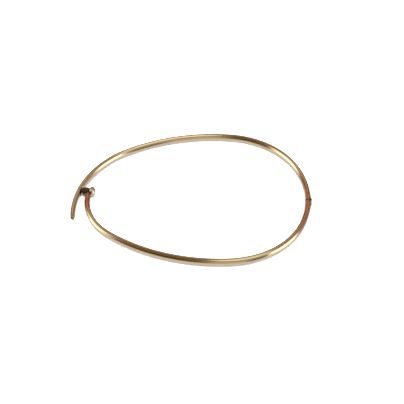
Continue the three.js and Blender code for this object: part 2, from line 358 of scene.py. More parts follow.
def new_material(name: str) -> tuple[bpy.types.Material, ShaderKit]:
    """Makes a material with an empty tree.

    Args:
        name: the material's name.
    """
    material = bpy.data.materials.new(name)
    material.use_nodes = True
    return material, ShaderKit(material.node_tree)


# ---------------------------------------------------------------- finishes


class Polish(Enum):
    """How far a gold surface is polished: roughness when clean, and what haze adds."""

    BRIGHT = (0.06, 0.09)
    WORN = (0.11, 0.13)
    SATIN = (0.24, 0.16)


@dataclass(frozen=True)
class Hairlines:
    """Thin wandering lines that polishing or handling leaves.

    Attributes:
        density: how close they lie across and along the wire.
        slant: how far they are turned from the wire, in degrees.
        sharpness: how thin they are.
    """

    density: tuple[float, float, float]
    slant: float
    sharpness: float

    def mask(self, kit: ShaderKit, surface: bpy.types.NodeSocket) -> Value:
        """1 on a line and 0 between them, on a surface mapped in millimetres."""
        wander = kit.noise(kit.stretched(surface, self.density, self.slant), 1.0, 1.0)
        return (1.0 - abs(wander - 0.5) * self.sharpness).at_least(0.0)


@dataclass(frozen=True)
class GoldFinish:
    """A gold alloy with drawn hairlines, handling haze, and dirt and painted shade kept in its corners and between its
    parts.

    Attributes:
        slot: the record's material slot it stands for.
        colour: the clean metal.
        warm_colour: the redder metal of patchy areas.
        heat_colour: the copper red that soldering brings up near a joint.
        dirt_and_shade_colour: the colour of dirt and oxide, and of painted shade in hollows and between parts.
        polish: how far it is polished.
        scratch_depth: height of the hairlines, in metres.
        drawn: lines left by drawing the wire, and drawn_share how much they count.
        handled: lines left by handling.
        crossed: handling lines the other way, and crossed_share how much they count.
        cloud_scale: clouds of haze and of redder metal in a metre.
        mottle_scale: specks in a metre.
        patch_start: the cloud value at which the metal starts to redden.
        patch_contrast: how fast it reddens from there.
        dirt_and_shade_cover: how much a stain of dirt and painted shade covers at least, and dirt_and_shade_mottle what
            specks add.
        heat_cover: how much heat reddens, and heat_mottle how far clouds change that.
        haze_start: the cloud value at which haze starts.
        scratch_roughness: roughness that hairlines add.
        dirt_and_shade_roughness: roughness that the mask of dirt and painted shade adds.
        roughest: the most roughness there is.
        speck_relief: height of the specks against the hairlines.
        bump_strength: how strongly the relief shows.
    """

    slot: str
    colour: Colour
    warm_colour: Colour
    heat_colour: Colour
    dirt_and_shade_colour: Colour
    polish: Polish
    scratch_depth: float
    drawn: Hairlines = Hairlines((9.0, 0.35, 1.0), 1.5, 26.0)
    drawn_share: float = 0.55
    handled: Hairlines = Hairlines((3.2, 0.9, 1.0), 28.0, 42.0)
    crossed: Hairlines = Hairlines((2.6, 0.8, 1.0), -37.0, 48.0)
    crossed_share: float = 0.8
    cloud_scale: float = 160.0
    mottle_scale: float = 1400.0
    patch_start: float = 0.42
    patch_contrast: float = 2.4
    dirt_and_shade_cover: float = 0.55
    dirt_and_shade_mottle: float = 0.9
    heat_cover: float = 0.78
    heat_mottle: float = 0.9
    haze_start: float = 0.35
    scratch_roughness: float = 0.10
    dirt_and_shade_roughness: float = 0.28
    roughest: float = 0.75
    speck_relief: float = 0.25
    bump_strength: float = 0.6

    def material(self) -> bpy.types.Material:
        """Builds the material.

        Returns:
            A material with colour, roughness and bump that vary over the surface.
        """
        material, kit = new_material(f"{self.slot}_finish")
        place = kit.node("ShaderNodeTexCoord")
        surface = place.outputs["UV"]
        clouds = kit.noise(place.outputs["Object"], self.cloud_scale, 4.0)
        mottle = kit.noise(place.outputs["Object"], self.mottle_scale, 2.0)
        drawn = self.drawn.mask(kit, surface) * self.drawn_share
        crossed = self.crossed.mask(kit, surface) * self.crossed_share
        scratches = (drawn + self.handled.mask(kit, surface) + crossed).at_most(1.0)

        patch = ((clouds - self.patch_start) * self.patch_contrast).within_unit()
        heat = (kit.stored(HEAT) * (self.heat_cover + (clouds - 0.5) * self.heat_mottle)).within_unit()
        # Dirt and painted shade: the stored mask darkens the metal towards the dark colour in hollows, between parts
        # and over dimmed highlights.
        dirt_and_shade = (kit.stored(DIRT_AND_SHADE_MASK) * (self.dirt_and_shade_cover + mottle * self.dirt_and_shade_mottle)).within_unit()
        metal = kit.mix(patch, (*self.colour, 1.0), (*self.warm_colour, 1.0))
        reddened = kit.mix(heat, metal, (*self.heat_colour, 1.0))
        stained_and_shaded = kit.mix(dirt_and_shade, reddened, (*self.dirt_and_shade_colour, 1.0))

        clean, haze = self.polish.value
        polished = clean + ((clouds - self.haze_start) * haze).at_least(0.0)
        worn = polished + scratches * self.scratch_roughness + dirt_and_shade * self.dirt_and_shade_roughness
        relief = mottle * self.speck_relief - scratches
        kit.metal(stained_and_shaded, worn.at_most(self.roughest), relief, self.bump_strength, self.scratch_depth)
        return material


@dataclass(frozen=True)
class SpringFinish:
    """Drawn steel spring wire with a faint blue-grey temper and die lines.

    Attributes:
        slot: the record's material slot it stands for.
        colour: the clean steel.
        temper: the steel where it was heated.
        line_density: how close the die lines lie across and along the wire.
        cloud_scale: temper clouds in a metre.
        smooth: roughness between the die lines, and line_roughness what they add.
        bump_strength: how strongly the die lines show.
        line_depth: how deep they are, in metres.
    """

    slot: str = "spring_steel"
    colour: Colour = (0.52, 0.52, 0.53)
    temper: Colour = (0.34, 0.33, 0.36)
    line_density: tuple[float, float, float] = (60.0, 1.2, 1.0)
    cloud_scale: float = 900.0
    smooth: float = 0.26
    line_roughness: float = 0.16
    bump_strength: float = 0.5
    line_depth: float = 2e-6

    def material(self) -> bpy.types.Material:
        """Builds the material.

        Returns:
            A steel material whose colour and roughness follow the die lines.
        """
        material, kit = new_material(f"{self.slot}_finish")
        place = kit.node("ShaderNodeTexCoord")
        lines = kit.noise(kit.stretched(place.outputs["UV"], self.line_density, 0.0), 1.0, 2.0)
        clouds = kit.noise(place.outputs["Object"], self.cloud_scale, 3.0)
        coloured = kit.mix(clouds, (*self.colour, 1.0), (*self.temper, 1.0))
        roughness = self.smooth + lines * self.line_roughness
        kit.metal(coloured, roughness, lines, self.bump_strength, self.line_depth)
        return material


SOLDER_RED = (0.74, 0.29, 0.13)
WIRE_GOLD = GoldFinish(
    slot="wire_gold", colour=(0.93, 0.71, 0.43), warm_colour=(0.90, 0.66, 0.40), heat_colour=SOLDER_RED,
    dirt_and_shade_colour=(0.16, 0.09, 0.045), polish=Polish.BRIGHT, scratch_depth=3e-6,
)
HINGE_GOLD = GoldFinish(
    slot="hinge_gold", colour=(0.88, 0.62, 0.38), warm_colour=(0.82, 0.54, 0.33), heat_colour=SOLDER_RED,
    dirt_and_shade_colour=(0.12, 0.06, 0.03), polish=Polish.WORN, scratch_depth=4e-6,
)
PIN_GOLD = GoldFinish(
    slot="pin_gold", colour=(0.84, 0.60, 0.37), warm_colour=(0.78, 0.52, 0.31),
    heat_colour=(0.70, 0.32, 0.165), dirt_and_shade_colour=(0.12, 0.07, 0.04), polish=Polish.SATIN, scratch_depth=4e-6,
)
KNOB_GOLD = GoldFinish(
    slot="knob_gold", colour=(0.96, 0.78, 0.57), warm_colour=(0.95, 0.70, 0.52),
    heat_colour=(0.90, 0.64, 0.50), dirt_and_shade_colour=(0.24, 0.15, 0.08), polish=Polish.BRIGHT, scratch_depth=3e-6,
)
# Painted shade: the barrel, bush and keeper are gold painted dark olive, almost black under their stains, for the shade
# they sit in between the arms at the catch.
SHADED_CATCH_GOLD = GoldFinish(
    slot="catch_gold", colour=(0.34, 0.28, 0.11), warm_colour=(0.20, 0.15, 0.06),
    heat_colour=(0.20, 0.12, 0.07), dirt_and_shade_colour=(0.030, 0.020, 0.010), polish=Polish.SATIN, scratch_depth=5e-6,
)
SPRING_STEEL = SpringFinish()


class Wardrobe:
    """Keeps one material for each finish."""

    def __init__(self) -> None:
        """Starts empty."""
        self.made: dict[str, bpy.types.Material] = {}

    def wear(self, piece: bpy.types.Object, finish: GoldFinish | SpringFinish) -> None:
        """Dresses a piece in a finish and names its slot.

        Args:
            piece: the mesh object.
            finish: its finish.
        """
        if finish.slot not in self.made:
            self.made[finish.slot] = finish.material()
        piece.data.materials.clear()
        piece.data.materials.append(self.made[finish.slot])
        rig.slot(piece, finish.slot)


# ---------------------------------------------------------------- centreline


class Side(Enum):
    """Which half of the bangle, as the sign of its Y direction."""

    REAR = 1.0
    FRONT = -1.0


@dataclass(frozen=True)
class Bend:
    """One arc of the centreline: its radius in metres and its turn in degrees."""

    radius: float
    turn: float


@dataclass(frozen=True)
class Station:
    """A place on the centreline with its outward, upward and forward directions."""

    point: np.ndarray
    out: np.ndarray
    along: np.ndarray

    @property
    def up(self) -> np.ndarray:
        """The third direction, so that a ring from out to up runs counter-clockwise about along."""
        return np.cross(self.along, self.out)


@dataclass(frozen=True)
class Plan:
    """The bangle's plan: tangent arcs, alike on both halves up to the catch.

    The plan's own origin is the centre of the flat arc across the hinge. It is found in the frame
    from the hinge pin, which stands on the hinge's axis. Angles are in degrees.
    """

    hinge_span: Bend = Bend(29.6 * MM, 24.5)
    corner: Bend = Bend(23.0 * MM, 61.0)
    flank: Bend = Bend(48.5 * MM, 40.5)
    clasp_radius: float = 17.8 * MM
    front_clasp_turn: float = 54.0
    rear_clasp_turn: float = 9.3
    tail: Bend = Bend(29.2 * MM, 55.0)
    hinge_angle: float = -5.5
    hinge_axis_offset: float = 0.5 * MM

    @property
    def _reach(self) -> np.ndarray:
        """From the plan's origin to the hinge's axis."""
        angle = math.radians(self.hinge_angle)
        length = self.hinge_span.radius + self.hinge_axis_offset
        return length * np.array([math.cos(angle), math.sin(angle), 0.0])

    @property
    def origin(self) -> np.ndarray:
        """The plan's origin in the frame, at the wire's mid height."""
        low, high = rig.box("hinge_pin")
        axis = (low + high) / 2
        low_arm, high_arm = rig.box("front_arm")
        return np.array([axis.x, axis.y, (low_arm.z + high_arm.z) / 2]) - self._reach

    @property
    def hinge_axis(self) -> np.ndarray:
        """A point on the hinge's axis, at the wire's mid height."""
        return self.origin + self._reach

    def spot(self, x: float, y: float = 0.0, z: float = 0.0) -> np.ndarray:
        """A point in the frame, given from the plan's origin."""
        return self.origin + np.array([x, y, z])

    def centreline(self, side: Side) -> "Centreline":
        """The centreline of one half, from the hinge's seam on.

        Args:
            side: which half.

        Returns:
            The half's centreline.
        """
        start = self.hinge_angle * side.value
        first = Bend(self.hinge_span.radius, self.hinge_span.turn - start)
        shared = [first, self.corner, self.flank]
        if side is Side.REAR:
            ending = [Bend(self.clasp_radius, self.rear_clasp_turn), self.tail]
        else:
            ending = [Bend(self.clasp_radius, self.front_clasp_turn)]
        return Centreline(self.origin, start, shared + ending, side)


class Centreline:
    """Tangent arcs in the frame's XY plane, then straight on."""

    def __init__(self, origin: np.ndarray, start: float, bends: Sequence[Bend], side: Side) -> None:
        """Lays the arcs end to end.

        Args:
            origin: centre of the first arc.
            start: angle of the first point on the first arc, in degrees, measured towards the side.
            bends: the arcs, in order.
            side: which way the arcs run.
        """
        self.origin = origin
        self.side = side
        self.arcs: list[tuple[float, float, float, float, float]] = []
        heading = math.radians(start)
        x = bends[0].radius * math.cos(heading)
        y = bends[0].radius * math.sin(heading)
        distance = 0.0
        for bend in bends:
            centre_x = x - bend.radius * math.cos(heading)
            centre_y = y - bend.radius * math.sin(heading)
            self.arcs.append((distance, bend.radius, centre_x, centre_y, heading))
            distance += bend.radius * math.radians(bend.turn)
            heading += math.radians(bend.turn)
            x = centre_x + bend.radius * math.cos(heading)
            y = centre_y + bend.radius * math.sin(heading)
        self.length = distance

    def at(self, distance: float) -> Station:
        """The station at a distance from the hinge's seam, straight on past the last arc.

        Args:
            distance: metres along the centreline.

        Returns:
            The station there.
        """
        on_arcs = min(distance, self.length)
        reached = [arc for arc in self.arcs if on_arcs >= arc[0]]
        start, radius, centre_x, centre_y, heading = reached[-1] if reached else self.arcs[0]
        angle = heading + (on_arcs - start) / radius
        sign = self.side.value
        out = np.array([math.cos(angle), math.sin(angle) * sign, 0.0])
        along = np.array([-math.sin(angle), math.cos(angle) * sign, 0.0])
        centre = self.origin + np.array([centre_x, centre_y * sign, 0.0])
        return Station(centre + radius * out + (distance - on_arcs) * along, out, along)


# ---------------------------------------------------------------- mesh making


@dataclass(frozen=True)
class Oval:
    """An oval section.

    Attributes:
        radial: width across the wire, outwards.
        height: height.
        shift: how far its centre stands outside the centreline.
        limit: the furthest out it reaches, or None.
        turn: how far it is turned about the wire, in radians.
    """

    radial: float
    height: float
    shift: float = 0.0
    limit: float | None = None
    turn: float = 0.0

    def ring(self, station: Station, sides: int) -> np.ndarray:
        """The section's outline at a station.

        Args:
            station: where it stands.
            sides: number of points.

        Returns:
            An array of points.
        """
        angle = np.linspace(0.0, 2 * math.pi, sides, endpoint=False)
        wide = self.radial / 2 * np.cos(angle)
        tall = self.height / 2 * np.sin(angle)
        outwards = self.shift + wide * math.cos(self.turn) - tall * math.sin(self.turn)
        upwards = wide * math.sin(self.turn) + tall * math.cos(self.turn)
        if self.limit is not None:
            outwards = np.minimum(outwards, self.limit)
        return station.point + np.outer(outwards, station.out) + np.outer(upwards, station.up)

    def inset(self, amount: float) -> "Oval":
        """The same oval, smaller all round by an amount."""
        return Oval(self.radial - 2 * amount, self.height - 2 * amount, self.shift, self.limit)

    def towards(self, other: "Oval", share: float) -> "Oval":
        """The oval a share of the way from this one to another.

        Args:
            other: the other oval.
            share: from 0 at this one to 1 at the other.

        Returns:
            The oval between them.
        """
        return Oval(
            self.radial + share * (other.radial - self.radial),
            self.height + share * (other.height - self.height),
            self.shift + share * (other.shift - self.shift),
        )


def mesh_object(name: str, vertices: np.ndarray, faces: Iterable[Sequence[int]]) -> bpy.types.Object:
    """Makes an object of a mesh and links it to the scene.

    Args:
        name: the object's name.
        vertices: points in metres.
        faces: vertex numbers of each face.

    Returns:
        The object.
    """
    mesh = bpy.data.meshes.new(name)
    mesh.from_pydata([tuple(map(float, v)) for v in vertices], [], [tuple(f) for f in faces])
    mesh.validate()
    mesh.update()
    piece = bpy.data.objects.new(name, mesh)
    bpy.context.scene.collection.objects.link(piece)
    return piece


def band_faces(here: int, there: int, count: int) -> list[Face]:
    """The faces between two rings, given the numbers of their first points and the points in a ring."""
    pairs = [(side, (side + 1) % count) for side in range(count)]
    return [(here + a, here + b, there + b, there + a) for a, b in pairs]


def quarter_turn(steps: int) -> list[tuple[float, float]]:
    """Sines and cosines of even steps from 0 to a quarter turn, both ends included."""
    return [(math.sin(a), math.cos(a)) for a in np.linspace(0.0, 1.0, steps) * math.pi / 2]


def skin_rings(name: str, rings: Sequence[np.ndarray]) -> bpy.types.Object:
    """Skins rings of equal count into a closed body, with a texture map in millimetres.

    Args:
        name: the object's name.
        rings: outlines in order, each counter-clockwise about the way they run.

    Returns:
        The object, with a UV map of distance around and distance along.
    """
    count = len(rings[0])
    vertices = np.concatenate(rings)
    last = (len(rings) - 1) * count
    faces: list[Face] = [tuple(range(count))[::-1]]
    for here in range(0, last, count):
        faces += band_faces(here, here + count, count)
    faces.append(tuple(range(last, last + count)))
    piece = mesh_object(name, vertices, faces)

    centres = np.array([ring.mean(axis=0) for ring in rings])
    steps = np.linalg.norm(np.diff(centres, axis=0), axis=1)
    along = np.concatenate([[0.0], np.cumsum(steps)]) / MM
    widest = max(np.linalg.norm(np.roll(ring, -1, axis=0) - ring, axis=1).sum() for ring in rings)
    around = widest / MM / count
    uv = piece.data.uv_layers.new(name="UVMap")
    for polygon in piece.data.polygons:
        seam = len(polygon.vertices) == 4 and {v % count for v in polygon.vertices} == {0, count - 1}
        for loop in polygon.loop_indices:
            vertex = piece.data.loops[loop].vertex_index
            side = vertex % count
            if seam and side == 0:
                side = count
            uv.data[loop].uv = (side * around, along[vertex // count])
    return piece


def rounded_corners(points: Outline, fillet: float, closed: bool) -> list[tuple[float, float]]:
    """Rounds the corners of an outline.

    Args:
        points: radius and distance pairs.
        fillet: largest distance from a corner at which its round starts.
        closed: whether the last point joins the first.

    Returns:
        The outline, with several points for each rounded corner.
    """
    given = [np.array(p, float) for p in points]
    rounded: list[tuple[float, float]] = []
    for number, corner in enumerate(given):
        at_end = not closed and number in (0, len(given) - 1)
        before = given[number - 1] - corner
        after = given[(number + 1) % len(given)] - corner
        room = CORNER_SHARE * min(np.linalg.norm(before), np.linalg.norm(after))
        reach = min(fillet, room)
        if at_end or reach <= 0.0:
            rounded.append(tuple(corner))
            continue
        start = corner + before / np.linalg.norm(before) * reach
        end = corner + after / np.linalg.norm(after) * reach
        for share in np.linspace(0.0, 1.0, CORNER_POINTS):
            curve = (1 - share) ** 2 * start + 2 * share * (1 - share) * corner + share**2 * end
            rounded.append(tuple(curve))
    return rounded


@dataclass(frozen=True)
class Lathe:
    """Turns outlines about an axis.

    Attributes:
        origin: the point on the axis that outline distances start from.
        axis: the axis direction.
        segments: facets around it.
    """

    origin: np.ndarray
    axis: Vector
    segments: int = 96

    def turn(self, name: str, outline: Outline, closed: bool = False) -> bpy.types.Object:
        """Turns an outline of radius and distance pairs into a closed body.

        Args:
            name: the object's name.
            outline: from the axis back to the axis, or a closed loop.
            closed: whether the outline is a loop.

        Returns:
            The object, with a UV map in millimetres.
        """
        spin = self.axis.to_track_quat("Z", "Y").to_matrix()
        angles = np.linspace(0.0, 2 * math.pi, self.segments, endpoint=False)
        poles = 0 if closed else 1
        body = outline[poles:len(outline) - poles]
        vertices = [
            Vector((radius * math.cos(a), radius * math.sin(a), distance))
            for radius, distance in body for a in angles
        ]
        faces: list[Face] = []
        rows = len(body)
        for row in range(rows if closed else rows - 1):
            there = (row + 1) % rows * self.segments
            faces += band_faces(row * self.segments, there, self.segments)
        if not closed:
            first = len(vertices)
            vertices.append(Vector((0.0, 0.0, outline[0][1])))
            vertices.append(Vector((0.0, 0.0, outline[-1][1])))
            last_row = (rows - 1) * self.segments
            for side in range(self.segments):
                following = (side + 1) % self.segments
                faces.append((first, following, side))
                faces.append((first + 1, last_row + side, last_row + following))
        placed = np.array([spin @ v for v in vertices]) + self.origin
        piece = mesh_object(name, placed, faces)
        self._map(piece, vertices)
        face_outwards(piece)
        return piece

    def _map(self, piece: bpy.types.Object, local: Sequence[Vector]) -> None:
        """Gives the piece a UV map of distance around and along, in millimetres.

        Args:
            piece: the turned object.
            local: its vertices before they were placed.
        """
        widest = max(math.hypot(v.x, v.y) for v in local)
        uv = piece.data.uv_layers.new(name="UVMap")
        for polygon in piece.data.polygons:
            turns = [math.atan2(local[v].y, local[v].x) for v in polygon.vertices]
            crosses = max(turns) - min(turns) > math.pi
            for loop, turn in zip(polygon.loop_indices, turns):
                if crosses and turn < 0:
                    turn += 2 * math.pi
                vertex = local[piece.data.loops[loop].vertex_index]
                run = vertex.z + widest - math.hypot(vertex.x, vertex.y)
                uv.data[loop].uv = (turn * widest / MM, run / MM)


def face_outwards(piece: bpy.types.Object) -> None:
    """Turns a closed mesh's faces outwards."""
    mesh = piece.data
    volume = 0.0
    for polygon in mesh.polygons:
        volume += polygon.center.dot(polygon.normal) * polygon.area
    if volume < 0:
        mesh.flip_normals()


def skin_band(
    name: str, line: Centreline, start: float, core: Oval, outline: Outline, sides: int,
) -> bpy.types.Object:
    """A closed band round an oval core, swept round it.

    Args:
        name: the object's name.
        line: the centreline it stands on.
        start: where the outline's distances start.
        core: the oval inside it.
        outline: pairs of distance along and height above the core, counter-clockwise.
        sides: points round the core.

    Returns:
        The object.
    """
    rows = [core.inset(-height).ring(line.at(start + run), sides) for run, height in outline]
    faces: list[Face] = []
    for row in range(len(rows)):
        faces += band_faces(row * sides, (row + 1) % len(rows) * sides, sides)
    piece = mesh_object(name, np.concatenate(rows), faces)
    spacing = 0.1
    uv = piece.data.uv_layers.new(name="UVMap")
    for polygon in piece.data.polygons:
        for loop in polygon.loop_indices:
            vertex = piece.data.loops[loop].vertex_index
            uv.data[loop].uv = (vertex % sides * spacing, vertex // sides * spacing)
    face_outwards(piece)
    return piece


def block(name: str, low: Sequence[float], high: Sequence[float]) -> bpy.types.Object:
    """A box between two corners, for cutting with.

    Args:
        name: the object's name.
        low: lowest corner.
        high: highest corner.

    Returns:
        The object.
    """
    corners = [(x, y, z) for x in (low[0], high[0]) for y in (low[1], high[1]) for z in (low[2], high[2])]
    faces = [(0, 1, 3, 2), (4, 6, 7, 5), (0, 4, 5, 1), (2, 3, 7, 6), (0, 2, 6, 4), (1, 5, 7, 3)]
    return mesh_object(name, np.array(corners), faces)


def apply_modifiers(piece: bpy.types.Object) -> None:
    """Replaces a piece's mesh by what its modifiers make of it."""
    graph = bpy.context.evaluated_depsgraph_get()
    graph.update()
    finished = bpy.data.meshes.new_from_object(piece.evaluated_get(graph))
    piece.modifiers.clear()
    piece.data = finished


class Cut(Enum):
    """What a cut leaves of a piece."""

    OUTSIDE = "DIFFERENCE"
    INSIDE = "INTERSECT"


def carve(piece: bpy.types.Object, tool: bpy.types.Object, left: Cut = Cut.OUTSIDE) -> None:
    """Cuts a piece with a tool, and clears the tool away.

    Args:
        piece: the piece to change.
        tool: the other body.
        left: which part of the piece is left.
    """
    cut = piece.modifiers.new("cut", "BOOLEAN")
    cut.operation = left.value
    cut.solver = "EXACT"
    cut.object = tool
    apply_modifiers(piece)
    bpy.data.objects.remove(tool)


def soften(piece: bpy.types.Object, width: float) -> None:
    """Rounds the sharp edges of a piece.

    Args:
        piece: the piece to change.
        width: width of the round, in metres.
    """
    bevel = piece.modifiers.new("soften", "BEVEL")
    bevel.width = width
    bevel.segments = SOFT_SEGMENTS
    bevel.limit_method = "ANGLE"
    bevel.angle_limit = SOFT_ANGLE
    bevel.use_clamp_overlap = True
    apply_modifiers(piece)


@dataclass(frozen=True)
class Stain:
    """A stain about a point.

    Attributes:
        place: its middle.
        spread: where it has faded out.
        strength: how strong it is at its middle.
        core: where it starts to fade.
        across: the direction square to a band-shaped stain, or None for a round one.
    """

    place: np.ndarray
    spread: float
    strength: float = 1.0
    core: float = 0.0
    across: np.ndarray | None = None

    def over(self, points: np.ndarray) -> np.ndarray:
        """How strong it is at each of some points.

        Args:
            points: an array of points.

        Returns:
            A strength for each point.
        """
        offset = points - self.place
        if self.across is None:
            away = np.linalg.norm(offset, axis=1)
        else:
            away = np.abs(offset @ self.across)
        return np.clip((self.spread - away) / (self.spread - self.core), 0.0, 1.0) * self.strength


def finish_surface(piece: bpy.types.Object, dirt_and_shade: Sequence[Stain], heat: Sequence[Stain]) -> None:
    """Smooths the shading except at sharp edges, and writes where dirt, painted shade and soldering heat show.

    Args:
        piece: the piece.
        dirt_and_shade: its dirty places and its places of painted shade.
        heat: its places reddened by soldering.
    """
    mesh = piece.data
    mesh.shade_smooth()
    mesh.set_sharp_from_angle(angle=SHARP_ANGLE)
    points = np.zeros(len(mesh.vertices) * 3)
    mesh.vertices.foreach_get("co", points)
    points = points.reshape(-1, 3)
    for name, stains in ((DIRT_AND_SHADE_MASK, dirt_and_shade), (HEAT, heat)):
        strength = np.zeros(len(points))
        for stain in stains:
            strength = np.maximum(strength, stain.over(points))
        attribute = mesh.attributes.new(name, "FLOAT", "POINT")
        attribute.data.foreach_set("value", strength.astype(np.float32))


def settle(piece: bpy.types.Object, body: str, nodes: Sequence[str]) -> None:
    """Lets a finished piece ride on its body and stand for its CAD nodes.

    Args:
        piece: the piece.
        body: the body it moves with.
        nodes: the CAD nodes it replaces.
    """
    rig.ride(piece, body)
    if nodes:
        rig.replaces(piece, *nodes)
    log.info("%s: %d vertices, rides on %s", piece.name, len(piece.data.vertices), body)


# ---------------------------------------------------------------- wires


@dataclass(frozen=True)
class Fits:
    """Gaps between pieces, and the spigots that join wires to ferrules.

    Attributes:
        seat: the gap of a soldered or pressed fit.
        running: the gap of a fit that moves.
        spigot: the section of a wire's spigot.
        spigot_length: its length at the hinge.
        collar_spigot_length: its length at the tip collar.
        ferrule_length: from the hinge's seam to a ferrule's mouth.
    """

    seat: float = 0.03 * MM
    running: float = 0.05 * MM
    spigot: Oval = Oval(1.0 * MM, 1.45 * MM)
    spigot_length: float = 0.9 * MM
    collar_spigot_length: float = 0.5 * MM
    ferrule_length: float = 2.6 * MM

    @property
    def wire_start(self) -> float:
        """Where the full wire starts, measured from the hinge's seam."""
        return self.ferrule_length + self.seat


@dataclass(frozen=True)
class HandWave:
    """The slight unevenness of wire bent and polished by hand.

    Attributes:
        depth: the most that the section swells or shrinks.
        wavelength: distance over which the swelling changes.
        twist: the most that the section turns about the wire, in radians.
        twist_wavelength: distance over which the twist changes.
        twist_fade: distance over which the twist fades out at a wire's ends.
        twist_margin: how much smaller the section is made to leave room for the twist.
        seed: where in the noise the wave is read.
        channel_spacing: how far apart in the noise its independent variations are read.
    """

    depth: float = 0.008 * MM
    wavelength: float = 6.0 * MM
    twist: float = math.radians(9.0)
    twist_wavelength: float = 13.0 * MM
    twist_fade: float = 7.0 * MM
    twist_margin: float = 0.012 * MM
    seed: float = 3.7
    channel_spacing: float = 11.3

    def _noise(self, along: float, channel: float) -> float:
        """Smooth noise between -1 and 1, at a number of wavelengths along the wire."""
        return noise.noise(Vector((along, self.seed, channel * self.channel_spacing)))

    def swell(self, distance: float, channel: float) -> float:
        """How much the wire swells at a distance, in metres, in one of the independent variations."""
        return self.depth * self._noise(distance / self.wavelength, channel)

    def turned(self, distance: float, reach: float, channel: float) -> float:
        """How far the wire is twisted at a distance, in radians, this far from its nearer end."""
        fade = min(1.0, max(0.0, reach / self.twist_fade))
        return self.twist * self._noise(distance / self.twist_wavelength, channel) * fade


@dataclass
class WireArms:
    """The two oval wire arms.

    Attributes:
        plan: the bangle's plan.
        fits: gaps and spigots.
        wire: the full section.
        tail_tip: the section at the end of the taper.
        tail_taper: length over which the tail thins.
        tail_round: length of the rounded tip.
        tail_rings: rings along the taper.
        tip_rings: rings along the rounded tip.
        tip_close: how far round the tip closes, where 1 is to a point.
        tip_lean: how far the tip leans to the outer side, as a share of its width.
        shoulder_round: round of the edge where a spigot starts.
        shoulder_rings: rings along that round.
        spigot_ease: length over which a spigot's ends are eased.
        step: distance between rings.
        sides: points in a ring.
        wave: the wire's unevenness.
    """

    plan: Plan
    fits: Fits
    wire: Oval = Oval(1.6 * MM, 2.1 * MM)
    tail_tip: Oval = Oval(1.36 * MM, 1.8 * MM)
    tail_taper: float = 16.0 * MM
    tail_round: float = 1.3 * MM
    tail_rings: int = 44
    tip_rings: int = 16
    tip_close: float = 0.985
    tip_lean: float = 0.25
    shoulder_round: float = 0.06 * MM
    shoulder_rings: int = 5
    spigot_ease: float = 0.04 * MM
    step: float = 0.4 * MM
    sides: int = 64
    wave: HandWave = field(default_factory=HandWave)

    @property
    def _first_run(self) -> float:
        """Where the full wire's even rings start."""
        return self.fits.wire_start + self.shoulder_round + self.step / 2

    def _wavy(self, oval: Oval, line: Centreline, distance: float) -> Oval:
        """An oval that is no larger than the one given, uneven by the hand's wave.

        Args:
            oval: the even section.
            line: the wire's centreline.
            distance: where the section stands.

        Returns:
            An oval no larger than the one given.
        """
        less = self.wave.depth + self.wave.twist_margin
        width = oval.radial - less + self.wave.swell(distance, 1.0)
        height = oval.height - less + self.wave.swell(distance, 2.0)
        shift = oval.shift + 0.5 * self.wave.swell(distance, 3.0)
        reach = min(distance - self.fits.wire_start, line.length - distance)
        turn = self.wave.turned(distance, reach, 4.0 if line.side is Side.REAR else 5.0)
        return Oval(width, height, shift, turn=turn)

    def _wavy_ring(self, oval: Oval, line: Centreline, distance: float) -> np.ndarray:
        """The outline of an uneven oval at a distance."""
        return self._wavy(oval, line, distance).ring(line.at(distance), self.sides)

    def _run(self, line: Centreline, start: float, end: float) -> list[np.ndarray]:
        """Rings of full wire between two distances, both ends included."""
        count = max(2, round((end - start) / self.step))
        return [self._wavy_ring(self.wire, line, s) for s in np.linspace(start, end, count + 1)]

    def _spigot(self, line: Centreline, start: float, end: float) -> list[np.ndarray]:
        """Rings of a spigot between two distances, with eased ends.

        Args:
            line: the wire's centreline.
            start: where it starts.
            end: where it ends.

        Returns:
            Its rings, in order.
        """
        ease = self.spigot_ease
        spigot = self.fits.spigot
        return [
            spigot.inset(ease).ring(line.at(start), self.sides),
            spigot.ring(line.at(start + ease), self.sides),
            spigot.ring(line.at(end - ease), self.sides),
            spigot.inset(ease * 0.5).ring(line.at(end), self.sides),
        ]

    def _shoulder(self, line: Centreline, face: float, direction: float) -> list[np.ndarray]:
        """The rounded edge of the wire's end, from its face to the full section.

        Args:
            line: the centreline.
            face: where the end face is.
            direction: 1 if the wire runs on from the face, or -1 if it comes up to it.

        Returns:
            Rings in the order in which they are met from the face.
        """
        rings = []
        for sine, cosine in quarter_turn(self.shoulder_rings):
            inset = self.shoulder_round * (1 - sine) + self.wave.depth / 2
            distance = face + direction * self.shoulder_round * (1 - cosine)
            rings.append(self.wire.inset(inset).ring(line.at(distance), self.sides))
        return rings

    def _hinge_end(self, line: Centreline) -> list[np.ndarray]:
        """The spigot and shoulder at a wire's hinge end."""
        start = self.fits.wire_start
        spigot = self._spigot(line, start - self.fits.spigot_length, start)
        return spigot + self._shoulder(line, start, 1.0)

    def _tail(self, line: Centreline, start: float) -> list[np.ndarray]:
        """The thinning tail and its rounded tip, which leans to the outer side.

        Args:
            line: the rear arm's centreline.
            start: where the even wire before it starts.

        Returns:
            The rings of the even wire, the tail and the tip.
        """
        round_start = line.length - self.tail_round
        taper_start = round_start - self.tail_taper
        rings = self._run(line, start, taper_start)
        for share in np.linspace(0.0, 1.0, self.tail_rings)[1:]:
            oval = self.wire.towards(self.tail_tip, share)
            rings.append(self._wavy_ring(oval, line, taper_start + share * self.tail_taper))
        for share in np.sin(np.linspace(0.0, 1.0, self.tip_rings)[1:] * math.pi / 2):
            scale = math.sqrt(max(0.0, 1 - (self.tip_close * share) ** 2))
            lean = self.tip_lean * self.tail_tip.radial * (1 - scale)
            oval = Oval(self.tail_tip.radial * scale, self.tail_tip.height * scale, lean)
            rings.append(self._wavy_ring(oval, line, round_start + share * self.tail_round))
        return rings

